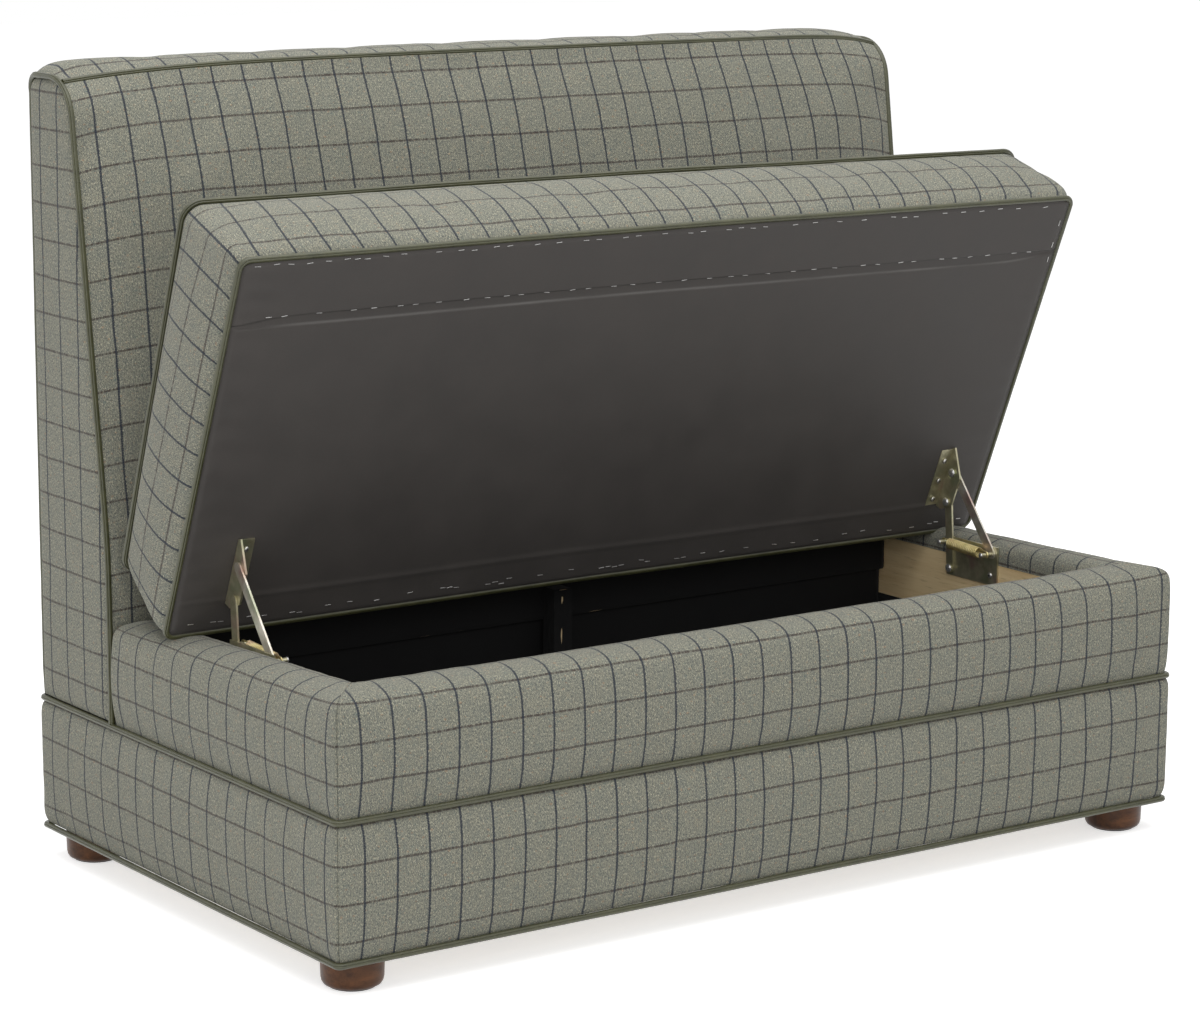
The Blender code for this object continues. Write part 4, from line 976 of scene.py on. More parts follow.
arc_top = full_arc[8:]
rear_start = HALF_D - REAR_CORNER
top_end = [tuple(seam_point + seam_run * SEAM_OFFSET)] + arc_top[2::2]
top_end += [(arc_top[-1][0] + (rear_start - arc_top[-1][0]) * k / 3, BACK_TOP_Z)
            for k in range(1, 4)]
for k in range(1, 6):
    angle = math.pi / 2 * k / 5
    top_end.append((rear_start + REAR_CORNER * math.sin(angle),
                    BACK_TOP_Z - REAR_CORNER * (1 - math.cos(angle))))
top_line, top_lengths = drawn_line(top_end, TOP_ROWS)


def back_top(a, c):
    along = closer(a)
    y, z = line_at(top_line, c)
    x = (2 * along - 1) * WRAP_END_X
    seam, full = seam_lift(along), swell(along, 1.0) * crown_height(along)
    lift = (seam + (full - seam) * eased(c / 0.4)) * (1 - c ** 6)
    lump = 0.4 * off_edges(a, c) * unevenness(x, y, 7.0)
    return np.array((x, y - 0.3 * seam * (1 - c) ** 4, z + lift + lump))


top_relief = settle(100, 14, back_top, 0.0020, 0.8)


def back_top_place(a, b, c):
    if b > 0.9:
        x, z = (2 * closer(a) - 1) * PAD_END_X, BACK_TOP_Z - TOP_PAD
        inner = back_line(z) + FRONT_PAD
        return np.array((x, inner + (HALF_D - inner) * c, z))
    return with_lip(back_top(a, c) + top_relief(a, c), top_line, b, c)


def back_top_cloth(side, a, b, c):
    x = (2 * closer(a) - 1) * WRAP_END_X
    return x + BACK_START + 0.012, top_lengths[round(c * TOP_ROWS)] - 0.020


top_band = block("tweed_back_top", (FRONT_COLUMNS, 3, TOP_ROWS), back_top_place, back_top_cloth,
                 tweed, "frame")
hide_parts("back_top_pad")

side_arc = corner_arc(EDGE_INSET, EDGE_INSET, 16)
side_top = BACK_TOP_Z - EDGE_INSET


def side_edges(z):
    """The front and rear edge of the side panel at a height."""
    front = back_line(z) + EDGE_INSET
    for (y1, z1), (y2, z2) in zip(side_arc, side_arc[1:]):
        if z1 <= z <= z2:
            front = y1 + (y2 - y1) * (z - z1) / max(z2 - z1, 1e-9)
    radius = REAR_CORNER - EDGE_INSET
    over = max(0.0, z - (side_top - radius))
    return front, HALF_D - EDGE_INSET - radius + math.sqrt(max(radius ** 2 - over ** 2, 0.0))


side_levels = list(np.linspace(SIDE_LOW, side_arc[0][1], 112, endpoint=False))
side_levels += [z for _, z in side_arc]
SIDE_ROWS = len(side_levels) - 1


def side_panel(sign):
    def face(a, c):
        z = side_levels[min(round(c * SIDE_ROWS), SIDE_ROWS)]
        front, rear = side_edges(z)
        y = rear + (front - rear) * a
        edge = min(a * (rear - front), (1 - a) * (rear - front), side_top - z, z - SIDE_LOW)
        edge = max(edge, 0.0)
        crown = 0.0030 * (1 - math.exp(-edge / 0.014))
        drawn = 0.0022 * math.exp(-edge / 0.004)
        lump = min(1.0, edge / 0.02) * unevenness(3.0, y, z)
        return np.array((sign * (HALF_W - 0.0010 - drawn + crown + lump), y, z))

    def place(a, b, c):
        x, y, z = face(a, c)
        return np.array((x if b < 0.5 else sign * (HALF_W - SIDE_PANEL), y, z))

    def cloth(side, a, b, c):
        _, y, z = face(a, c)
        return (SIDE_FIRST - y) * CHECK_UP / SIDE_PITCH, z - UPPER_PIPING_Z - SIDE_LEVEL

    return place, cloth


for side, sign in (("left", -1), ("right", 1)):
    place, cloth = side_panel(sign)
    panel = block(f"tweed_side_{side}", (SIDE_COLUMNS, 1, SIDE_ROWS), place, cloth, tweed, "frame")
    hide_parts(f"back_side_panel_{side}")

REAR_TOP = BACK_TOP_Z - TOP_PAD - GAP


def rear_place(a, b, c):
    x, z = (2 * a - 1) * PAD_END_X, SIDE_LOW + (REAR_TOP - SIDE_LOW) * c
    if b > 0.5:
        return np.array((x, HALF_D - REAR_PANEL, z))
    edge = min(PAD_END_X - abs(x), z - SIDE_LOW, REAR_TOP - z)
    full = 1 - math.exp(-max(edge, 0.0) / 0.012)
    return np.array((x, HALF_D - 0.0012 + full * (0.0026 + unevenness(x, 4.0, z)), z))


def rear_cloth(side, a, b, c):
    return (2 * a - 1) * PAD_END_X + BAND_START, (REAR_TOP - SIDE_LOW) * c - 0.0350


rear = block("tweed_back_rear", (150, 1, 96), rear_place, rear_cloth, tweed, "frame")
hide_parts("back_rear_panel")

# Back piping: olive leather cord round each side panel and along the front top edge.
# The top length dips at its ends, where it runs into the side lengths.
PIPING_FOOT, REAR_TUCK, PIPING_STEP, TOP_PIPING_X = 0.2025, 0.0060, 0.008, 0.6052


def side_piping_path(x):
    """Up the raked front, round the corner, along the top and down the rear, where it tucks in."""
    arc = corner_arc(PIPING_INSET, PIPING_INSET, 12)
    path = [(back_line(z) + PIPING_INSET, z)
            for z in np.arange(PIPING_FOOT, arc[0][1], PIPING_STEP)] + arc
    radius = REAR_CORNER - PIPING_INSET
    start = arc[-1][0]
    y, z = HALF_D - PIPING_INSET - radius, BACK_TOP_Z - PIPING_INSET - radius
    count = int((y - start) / PIPING_STEP)
    path += [(start + (y - start) * k / count, z + radius) for k in range(1, count)]
    turn_start = len(path)
    for k in range(7):
        angle = math.pi / 2 * k / 6
        path.append((y + radius * math.sin(angle), z + radius * math.cos(angle)))
    path += [(HALF_D - PIPING_INSET, level)
             for level in np.arange(z - PIPING_STEP, PIPING_FOOT, -PIPING_STEP)]
    last = len(path) - 1
    placed = []
    for k, (y, z) in enumerate(path):
        tucked = REAR_TUCK * min(1.0, max(0.0, (k - turn_start) / 6))
        foot = 0.0030 * max(0.0, 1 - (last - k) / 4)
        wave = 0.0005 * noise.noise((z * 6, x, 0))
        placed.append((x - math.copysign(tucked, x), y - foot + wave, z))
    return placed


for side, sign in (("left", -1), ("right", 1)):
    path = side_piping_path(sign * (HALF_W - PIPING_INSET))
    piping(f"leather_piping_side_{side}", path, (sign, 0, 0), False, "frame", f"back_piping_{side}",
           fold=0.75 if sign < 0 else math.pi - 0.30)
top_path = []
for x in np.linspace(-TOP_PIPING_X, TOP_PIPING_X, 190):
    lift = seam_lift(min(1.0, max(0.0, (x / WRAP_END_X + 1) / 2)))
    y, z = seam_point + SEAM_RISE * lift
    top_path.append((x, y, z + 0.0006 * noise.noise((x * 7, 1, 1))))
piping("leather_piping_top", top_path, (0, 0.55, 0.83), False, "frame", "back_piping_top",
       fold=-0.30)

# Lid frame: poplar rails and a slat under a thin deck board, glued together.
# The cushion's cloth is stapled under them, and the cushion and the dust cover wrap them wholly.
finish_nodes(poplar_along_x, "lid_rail_front", "lid_rail_rear", "lid_deck")
finish_nodes(poplar_upright, "lid_rail_left", "lid_rail_right", "lid_slat_centre")

# Seat cushion: foam glued on the deck, crowned, under a tweed top and a boxing strip.
# The boxing stands full between its seams and follows the corners without a seam of its own.
LID_THETA = math.radians(67.6)
LID_EDGE = np.array((0.0, 0.0388, 0.3285))
ALONG_LID = np.array((0.0, -math.cos(LID_THETA), math.sin(LID_THETA)))
OVER_LID = np.array((0.0, math.sin(LID_THETA), math.cos(LID_THETA)))
LID_HALF, LID_DEPTH, LID_CORNER, UPPER_CORNER = 0.6035, 0.492, 0.012, 0.022
LID_FRONT_HEIGHT, LID_REAR_HEIGHT, LID_REAR_EASE, LID_CROWN = 0.137, 0.116, 0.020, 0.018
LID_PIPING_LEVEL, LID_SAG, UPPER_FLARE = 0.0030, 0.0040, 0.0085
BOXING = [(-0.0028, 0.022), (-0.0026, 0.046), (-0.0012, 0.064), (0.0034, 0.115), (0.0080, 0.20),
          (0.0122, 0.35), (0.0132, 0.52), (0.0117, 0.68), (0.0082, 0.82), (0.0034, 0.91),
          (0.0004, 0.955), (-0.0022, 0.990)]
BOXING_CORNER = [(-0.0028, 0.022), (-0.0018, 0.046), (0.0002, 0.064), (0.0040, 0.115),
                 (0.0060, 0.20), (0.0054, 0.35), (0.0032, 0.52), (0.0020, 0.68), (0.0009, 0.82),
                 (-0.0004, 0.91), (-0.0012, 0.955), (-0.0022, 0.990)]
BOXING_LOW, BOXING_SHARE, BOXING_SCALE = 0.12, 0.76, 10
LID_CORNER_REACH, LID_FOOT, END_FULLNESS, REAR_FULLNESS = 0.060, 0.0025, 0.8, 0.33
LID_COLUMNS, LID_LAYERS, LID_ROWS = 200, 80, 28
LID_START, LID_PITCH, LID_SIDE_PITCH, LID_LEVEL = 0.566, 0.0413, 0.0416, 0.0285
boxing_full = [(outward * BOXING_SCALE, share) for outward, share in BOXING]
boxing_ends = [(outward * BOXING_SCALE, share) for outward, share in BOXING_CORNER]
boxing_line, _ = drawn_line(boxing_full, LID_ROWS)
boxing_corner, _ = drawn_line(boxing_ends, LID_ROWS, boxing_full)


def on_lid(x, depth, height):
    """A place on the lid as it stands open; its right end hangs a little lower than its left."""
    sag = LID_SAG * max(0.0, x / LID_HALF)
    return LID_EDGE + ALONG_LID * depth + OVER_LID * height + np.array((x, 0.0, -sag))


def lid_height(depth, x):
    """The boxing is lower at the rear, and a little lower towards the right."""
    rise = (LID_FRONT_HEIGHT - LID_REAR_HEIGHT) * depth / LID_DEPTH
    return (LID_REAR_HEIGHT + rise) * (1 - 0.040 * min(1.0, max(0.0, (x + 0.2) / 0.7)))


def lid_ease(depth, height):
    near_rear = max(0.0, 1 - depth / (LID_DEPTH / 2))
    return LID_REAR_EASE * height / LID_REAR_HEIGHT * near_rear ** 2


def rounded_plan(x, y, half_x, half_y, corner):
    """Pull a point of the plan rectangle in, so that the corners follow an arc."""
    inner_x, inner_y = half_x - corner, half_y - corner
    past_x, past_y = abs(x) - inner_x, abs(y) - inner_y
    if past_x <= 0 or past_y <= 0:
        return x, y
    pull = max(past_x, past_y) / math.hypot(past_x, past_y)
    return math.copysign(inner_x + past_x * pull, x), math.copysign(inner_y + past_y * pull, y)


def cushion_form(along, across, up):
    along, across = closer(along), closer(across)
    from_corner = max(min(along, 1 - along) * 2 * LID_HALF, min(across, 1 - across) * LID_DEPTH)
    bend = math.exp(-(from_corner / LID_CORNER_REACH) ** 1.5)
    outward, share = line_at(boxing_line, up) * (1 - bend) + line_at(boxing_corner, up) * bend
    outward /= BOXING_SCALE
    half_x = LID_HALF + (outward * END_FULLNESS if outward > 0 else outward)
    half_y = LID_DEPTH / 2 + (outward * REAR_FULLNESS if across > 0.5 and outward > 0 else outward)
    corner = LID_CORNER + (UPPER_CORNER - LID_CORNER) * share ** 2
    x, y = rounded_plan((2 * along - 1) * half_x, (2 * across - 1) * half_y, half_x, half_y, corner)
    x += UPPER_FLARE * max(0.0, share) ** 2 * max(0.0, x / LID_HALF)
    depth = LID_DEPTH / 2 - y
    height = lid_height(depth, x) * share
    if up > 0.999:
        inside = min(1.0, 8 * along * (1 - along)) * min(1.0, 8 * across * (1 - across))
        height += LID_CROWN * math.sqrt(max(0.0, inside))
    elif 0.06 < share < 0.94:
        lump = 1.4 * (1 - bend) * unevenness(x, depth, height)
        x += lump * (abs(x) > half_x - LID_CORNER) * math.copysign(1, x)
        depth += lump * (abs(y) > half_y - LID_CORNER) * math.copysign(1, -y)
    if up < 0.001:
        height = LID_FOOT
    return x, depth + lid_ease(depth, height), height


def boxing_front(a, c):
    return on_lid(*cushion_form(a, 0.0, BOXING_LOW + BOXING_SHARE * c))


boxing_relief = settle(120, 16, boxing_front, 0.0020, 1.2)
crown_relief = settle(76, 38, lambda a, c: on_lid(*cushion_form(a, c, 1.0)), 0.0040, -1.0)


def cushion_place(a, b, c):
    point = on_lid(*cushion_form(a, b, c))
    if b == 0 and BOXING_LOW < c < 1 - BOXING_LOW:
        point = point + boxing_relief(a, (c - BOXING_LOW) / BOXING_SHARE)
    if c == 1:
        point = point + crown_relief(a, b)
    return point


perimeter = {}
for edge, ends in (("front", lambda t: (t, 0.0)), ("left", lambda t: (0.0, t)),
                   ("right", lambda t: (1.0, t)), ("rear", lambda t: (t, 1.0))):
    count = LID_LAYERS if edge in ("left", "right") else LID_COLUMNS
    track = np.array([cushion_form(*ends(k / count), 0.5)[:2] for k in range(count + 1)])
    steps = np.linalg.norm(np.diff(track, axis=0), axis=1)
    perimeter[edge] = np.concatenate([[0], np.cumsum(steps)])
front_start = LID_START - perimeter["front"][LID_COLUMNS // 2]


def cushion_cloth(side, a, b, c):
    x, depth, height = cushion_form(a, b, c)
    level = height - LID_LEVEL
    if side in ("outer", "inner"):
        edge = perimeter["front" if side == "outer" else "rear"]
        across = (edge[round(a * LID_COLUMNS)] + front_start) * CHECK_UP / LID_PITCH
        if side == "outer":
            low = 1 - height / LID_FRONT_HEIGHT
            across += 0.018 * low * max(0.0, -x / LID_HALF) ** 2
        return across, level
    if side == "start":
        travelled = front_start - perimeter["left"][round(b * LID_LAYERS)]
        return travelled * CHECK_UP / LID_SIDE_PITCH, level
    if side == "end":
        travelled = perimeter["front"][-1] + front_start + perimeter["right"][round(b * LID_LAYERS)]
        return travelled * CHECK_UP / LID_SIDE_PITCH, level
    return (2 * a - 1) * LID_HALF + LID_START, depth


cushion = block("tweed_seat_cushion", (LID_COLUMNS, LID_LAYERS, LID_ROWS), cushion_place,
                cushion_cloth, tweed, "lid", 55.0)
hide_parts("seat_cushion")

# Lid piping: olive leather cord in the seams under and over the boxing.
# The lower one also covers the stapled edge of the cushion's cloth.
lower_path, upper_path = [], []
for x, depth in rounded_loop(LID_HALF, 0.0, LID_DEPTH, LID_CORNER):
    wave = 0.0006 * noise.noise((x * 6, depth * 6, 9))
    lower_path.append(on_lid(x, depth, LID_PIPING_LEVEL + wave))
for x, depth in rounded_loop(LID_HALF, 0.0, LID_DEPTH, UPPER_CORNER):
    height = lid_height(depth, x)
    wave = 0.0012 * noise.noise((x * 6, depth * 6, 9))
    flared = x + UPPER_FLARE * max(0.0, x / LID_HALF)
    upper_path.append(on_lid(flared, depth + lid_ease(depth, height), height + wave))
piping("leather_piping_lid_lower", lower_path, tuple(-OVER_LID), True, "lid", "lid_piping_lower",
       fold=1.15)
piping("leather_piping_lid_upper", upper_path, tuple(-OVER_LID), True, "lid", "lid_piping_upper",
       fold=0.9)

# Dust cover: one sheet of charcoal non-woven cloth, drawn over the lid's underside and stapled.
# It creases where it passes from the front and rear rails to the open middle.
COVER_X, COVER_NEAR, COVER_FAR = 0.6008, 0.0028, 0.4892
COVER_COLUMNS, COVER_ROWS = 124, 360
FRONT_CREASE, FRONT_RIDGE, REAR_CREASE = 0.4188, 0.4063, 0.0450
COVER_SHARES = (0.0, 0.28, 0.55, 0.85, 1.0)
COVER_DEPTHS = (COVER_NEAR, 0.075, 0.392, 0.432, COVER_FAR)
COVER_ROUND, COVER_CLOTH, END_FOLD = LID_CORNER - 0.0027, 0.0006, 0.0080
COVER_LIFT, FLAP_LIFT, REAR_LIFT, END_GATHER = 0.0004, 0.0005, 0.0008, 0.0004
CHANNEL_SINK, EDGE_SINK = 0.0021, 0.0010
# The charcoal cloth carries the painted fold light: a highlight along the ridge and shade in the
# crease.
charcoal_cloth = pressed_cloth("charcoal_cloth_finish", (0.0460, 0.0415, 0.0385),
                               (0.0620, 0.0555, 0.0510), 0.58, folded=True)


def hump(value, at, width):
    """1 on a line, fading to nothing on both sides."""
    return math.exp(-((value - at) / width) ** 2)


def step_down(value, at, width):
    """From 0 before a line to 1 after it, softly."""
    return 0.5 * (1 + math.tanh((value - at) / width))


def fold_lines(x):
    """The depths of the front crease and of the ridge behind it, which run together at the ends."""
    wander = 0.0015 * noise.noise((x * 3.0, 0.0, 2.0))
    at_end = hump(abs(x), 0.600, 0.045)
    crease = FRONT_CREASE + wander - (END_FOLD * at_end if x < 0 else 0.0)
    ridge = FRONT_RIDGE + 1.3 * wander + (END_FOLD * at_end if x > 0 else 0.0)
    return wander, at_end, crease, ridge


def painted_fold_light(x, depth):
    """Painted highlight along the ridge, where light catches it, and painted shade in the crease.
    """
    _, _, crease, ridge = fold_lines(x)
    inside = step_down(x, -0.545, 0.015) * step_down(-x, -0.565, 0.015)
    ridge_highlight = hump(depth, ridge, 0.0011) * inside * (0.75 + 0.5 * noise.noise((x * 12.0, 0.0, 5.0)))
    return ridge_highlight - 0.8 * hump(depth, crease, 0.0008)


def cover_level(x, depth):
    """The height of the cloth over the lid's underside; less is further out.

    Behind the front flap it sinks into a channel.
    """
    wander, at_end, crease, ridge = fold_lines(x)
    flap = step_down(depth, crease, 0.0007)
    channel = step_down(depth, ridge, 0.0009) - flap
    rear_fold = REAR_CREASE + 2 * wander
    after = 1 - step_down(depth, rear_fold, 0.0030)
    edge = min(depth - COVER_NEAR, COVER_FAR - depth, COVER_X - abs(x))
    tucked = hump(max(edge, 0.0), 0.0, 0.0030)
    slack = 0.0005 * noise.noise((x * 5.0, depth * 7.0, 1.0))
    slack += 0.00025 * noise.noise((x * 16.0, depth * 24.0, 4.0))
    pulled = 0.0005 * hump(depth, 0.024, 0.016) * noise.noise((x * 42.0, depth * 16.0, 6.0))
    ripple = math.sin(depth * 190.0 + 5.0 * noise.noise((x * 9.0, depth * 9.0, 3.0)))
    height = -COVER_LIFT - FLAP_LIFT * max(flap, after) + CHANNEL_SINK * channel
    height += slack + pulled + END_GATHER * at_end * ripple
    height -= REAR_LIFT * hump(depth, rear_fold, 0.0040)
    return height * (1 - tucked) + EDGE_SINK * tucked


def cover_spot(a, c):
    """Where a point of the cloth lies under the lid, its corners rounded."""
    depth = float(np.interp(c, COVER_SHARES, COVER_DEPTHS))
    past = max(COVER_ROUND - min(depth - COVER_NEAR, COVER_FAR - depth), 0.0)
    shorter = COVER_ROUND - math.sqrt(max(COVER_ROUND ** 2 - past ** 2, 0.0))
    return (2 * a - 1) * (COVER_X - shorter), depth


def dust_cover(a, c):
    x, depth = cover_spot(a, c)
    return on_lid(x, depth, cover_level(x, depth))


cover = cloth_sheet("dust_cover_cloth", COVER_COLUMNS, COVER_ROWS, dust_cover, COVER_CLOTH,
                    charcoal_cloth, "lid")
# Painted light for the dust cover's folds, kept as the fold attribute: a highlight on the ridge and
# shade in the crease.
fold_light_and_shade = [painted_fold_light(*cover_spot(i / COVER_COLUMNS, j / COVER_ROWS))
         for i in range(COVER_COLUMNS + 1) for j in range(COVER_ROWS + 1)]
cover.data.attributes.new("fold", "FLOAT", "POINT").data.foreach_set("value", fold_light_and_shade)
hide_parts("lid_dust_cover")

# Staples: bright wire staples shot through the cover's edges into the rails, by hand and so uneven.
# Rows follow the front edge, the front crease and the rear edge, and three stand at the right.
STAPLE_WIDTH, STAPLE_WIRE, STAPLE_SINK = 0.0074, 0.0009, 0.0003
CLOSE_STEPS, WIDE_STEPS = (0.013, 0.018, 0.024), (0.018, 0.030, 0.038, 0.046)
REAR_STEPS = (0.010, 0.030, 0.038, 0.046)
chance = random.Random(11)
staple_places, staple_turns = [], []


def growing_tree(name, sizes, finishes):
    """A tree with named inputs for its sizes and finishes: the tree, its inputs and its output."""
    tree = bpy.data.node_groups.new(name, "GeometryNodeTree")

    def socket(label, kind, way="INPUT"):
        return tree.interface.new_socket(label, in_out=way, socket_type="NodeSocket" + kind)

    socket("Geometry", "Geometry")
    for label, value in sizes.items():
        socket(label, "Float").default_value = value
    for label in finishes:
        socket(label, "Material")
    socket("Geometry", "Geometry", "OUTPUT")
    given, made = tree.nodes.new("NodeGroupInput"), tree.nodes.new("NodeGroupOutput")
    return tree, given.outputs, made.inputs[0]


def mark(tree, name, kind):
    """A value that each point carries under a name."""
    read = tree_node(tree, "GeometryNodeInputNamedAttribute", {"Name": name}, data_type=kind)
    return read.outputs[0]


def scattered(tree, points, shape, finish, sockets):
    """One real copy of a shape on each point, in its finish."""
    sockets = {"Points": points, "Instance": shape, **sockets}
    copies = tree_node(tree, "GeometryNodeInstanceOnPoints", sockets).outputs[0]
    real = tree_node(tree, "GeometryNodeRealizeInstances", {0: copies}).outputs[0]
    dress = tree_node(tree, "GeometryNodeSetMaterial", {"Geometry": real, "Material": finish})
    return dress.outputs[0]


def staple_tree():
    """Each point gets one staple crown, lying on the lid and turned by its own angle."""
    sizes = {"Crown width": STAPLE_WIDTH, "Wire": STAPLE_WIRE, "Lid angle": LID_THETA}
    tree, given, made = growing_tree("staples", sizes, ["Finish"])
    radius = maths(tree, "MULTIPLY", given["Wire"], 0.5)
    bar = tree_node(tree, "GeometryNodeMeshCylinder",
                    {"Vertices": 8, "Radius": radius, "Depth": given["Crown width"]})
    crown = tree_node(tree, "GeometryNodeTransform",
                      {"Geometry": bar.outputs["Mesh"], "Rotation": (0.0, math.pi / 2, 0.0)})
    stray = tree_node(tree, "FunctionNodeRandomValue", {2: -0.14, 3: 0.14, "Seed": 4},
                      data_type="FLOAT")
    turn = maths(tree, "ADD", stray.outputs[1], mark(tree, "turn", "FLOAT"))
    tip = maths(tree, "MULTIPLY", given["Lid angle"], -1.0)
    turns = {"Rotation": shader_node(tree, "CombineXYZ", {0: tip}).outputs[0],
             "Rotate By": shader_node(tree, "CombineXYZ", {2: turn}).outputs[0]}
    whole = tree_node(tree, "FunctionNodeRotateEuler", turns, rotation_type="EULER", space="LOCAL")
    tree.links.new(scattered(tree, given["Geometry"], crown.outputs[0], given["Finish"],
                             {"Rotation": whole.outputs[0]}), made)
    return tree


def grown(name, tree, points, marks, inputs, body):
    """Run a tree on loose points, each with its own marks, and keep the result as a plain mesh."""
    data = bpy.data.meshes.new(name + "_points")
    data.from_pydata([tuple(point) for point in points], [], [])
    for label, values in marks.items():
        several = np.ndim(values) == 2
        kept = data.attributes.new(label, "FLOAT_VECTOR" if several else "FLOAT", "POINT")
        flat = np.array(values, dtype=np.float32).ravel()
        kept.data.foreach_set("vector" if several else "value", flat)
    seed = bpy.data.objects.new(name + "_points", data)
    scene.collection.objects.link(seed)
    grow = seed.modifiers.new("grow", "NODES")
    grow.node_group = tree
    for item in tree.interface.items_tree:
        if item.item_type == "SOCKET" and item.in_out == "INPUT" and item.name in inputs:
            grow[item.identifier] = inputs[item.name]
    rested = seed.evaluated_get(bpy.context.evaluated_depsgraph_get())
    plain = bpy.data.meshes.new_from_object(rested)
    plain.name = name
    seed.modifiers.remove(grow)
    bpy.data.objects.remove(seed, do_unlink=True)
    piece = bpy.data.objects.new(name, plain)
    scene.collection.objects.link(piece)
    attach(piece, body)
    return piece


def staple(x, depth, turn=0.0):
    staple_places.append(on_lid(x, depth, cover_level(x, depth) - STAPLE_SINK))
    staple_turns.append(turn)


def staple_row(x, end, depth, step):
    """Staples along the lid from x to end; each draws its depth, then the step after it."""
    while x < end:
        staple(x, depth(x))
        x += step(x)


staple_row(-0.583, 0.585,
           lambda x: 0.4858 - 0.0012 * (x + 0.6) + chance.uniform(-0.0016, 0.0008),
           lambda x: chance.choice(CLOSE_STEPS if x < -0.40 else WIDE_STEPS))
staple_row(-0.556, 0.560, lambda x: FRONT_CREASE + chance.uniform(-0.0006, 0.0010),
           lambda x: chance.uniform(0.020, 0.046))
staple_row(-0.575, 0.58, lambda x: 0.0145 + chance.uniform(-0.003, 0.004),
           lambda x: chance.choice(REAR_STEPS))
for depth in (0.458, 0.427, 0.406):
    staple(0.5915, depth, math.pi / 2)
wire_finish = speckled("bright_wire_finish", 500.0, 2.0, ((0.42, 0.42, 0.41), (0.74, 0.73, 0.72)),
                       (0.22, 0.40), (0.1, 0.0002), metal=0.85)
grown("lid_staples", staple_tree(), staple_places, {"turn": staple_turns}, {"Finish": wire_finish},
      "lid")

# Hinges: pressed steel plates, arms and brackets, plated in yellow zinc and riveted to swing.
# The plate is screwed on the rail and the bracket under the lid; a coil spring lifts the rear arm.
REAR_PIVOT, FRONT_PIVOT = (-0.0065, 0.2854), (-0.0869, 0.3175)
REAR_TIP, FRONT_TIP = (-0.00057, 0.37284), (-0.01141, 0.41305)
SPRING_X, SPRING_RADIUS, SPRING_WIRE, SPRING_PIN = 0.5256, 0.0060, 0.001125, 0.036
SPRING_CURLS, CURL_STEPS, HOOK_STEPS = 18, 20, 12
SPRING_HOOK, HOOK_RADIUS, HOOK_NECK = 0.012, 0.0042, 0.6
SPRING_HELD = 0.65


def yellow_zinc(name, dark, light):
    """Passivated zinc: a yellow film over bright steel, shot with pink and green."""
    made, tree, shader = new_finish(name)
    place = own_place(tree)
    cloud = grained(tree, place, 55.0, 3.0)
    film = grained(tree, place, 30.0, 2.0)
    scratch = grained(tree, place, (300.0, 1400.0, 260.0), 2.0)
    plated = layered(tree, dark, [(cloud, 0.3, 0.7, 0.0, 1.0, light),
                                  (film, 0.54, 0.70, 0.0, 0.65, (0.46, 0.27, 0.25)),
                                  (film, 0.30, 0.44, 0.55, 0.0, (0.30, 0.36, 0.22))])
    set_shader(tree, shader, plated, spread(tree, scratch, 0.2, 0.8, 0.26, 0.46),
               {"Metallic": 0.80})
    raise_surface(tree, shader, scratch, 0.10, 0.0002)
    return made


zinc = yellow_zinc("yellow_zinc_steel_finish", (0.36, 0.335, 0.215), (0.58, 0.545, 0.380))
gold_zinc = yellow_zinc("spring_zinc_finish", (0.52, 0.43, 0.18), (0.74, 0.64, 0.34))
pale_zinc = yellow_zinc("pale_zinc_finish", (0.50, 0.45, 0.34), (0.76, 0.73, 0.66))
for side in ("left", "right"):
    finish_nodes(zinc, f"hinge_plate_{side}", f"hinge_rear_arm_{side}", f"lid_bracket_{side}")
    finish_nodes(pale_zinc, f"hinge_front_arm_{side}")


def on_rear_arm(distance):
    """A place (y, z) on the line of the rear arm, from its lower pivot."""
    foot, tip = Vector(REAR_PIVOT), Vector(REAR_TIP)
    return foot + (tip - foot).normalized() * distance


def coil(sign):
    """The spring's wire as close points: a hook, the curls and a hook."""
    start, end = Vector((0, *FRONT_PIVOT)), Vector((0, *on_rear_arm(SPRING_PIN)))
    forward = (end - start).normalized()
    upward = Vector((1, 0, 0)).cross(forward)
    length, points = (end - start).length, []

    def put(distance, up, out=0.0):
        spot = start + forward * distance + upward * up
        points.append((sign * (SPRING_X + out), spot.y, spot.z))

    def hook(middle, first):
        for k in range(HOOK_STEPS + 1):
            angle = math.pi * (first - 0.75 * k / HOOK_STEPS)
            put(middle + HOOK_RADIUS * math.cos(angle), HOOK_RADIUS * math.sin(angle))

    hook(0.0, 1.25)
    put(SPRING_HOOK * HOOK_NECK, HOOK_RADIUS)
    for k in range(SPRING_CURLS * CURL_STEPS + 1):
        angle = math.tau * k / CURL_STEPS
        along = SPRING_HOOK + (length - 2 * SPRING_HOOK) * k / (SPRING_CURLS * CURL_STEPS)
        put(along, SPRING_RADIUS * math.cos(angle), SPRING_RADIUS * math.sin(angle))
    put(length - SPRING_HOOK * HOOK_NECK, HOOK_RADIUS)
    hook(length, 0.5)
    return points, start, end


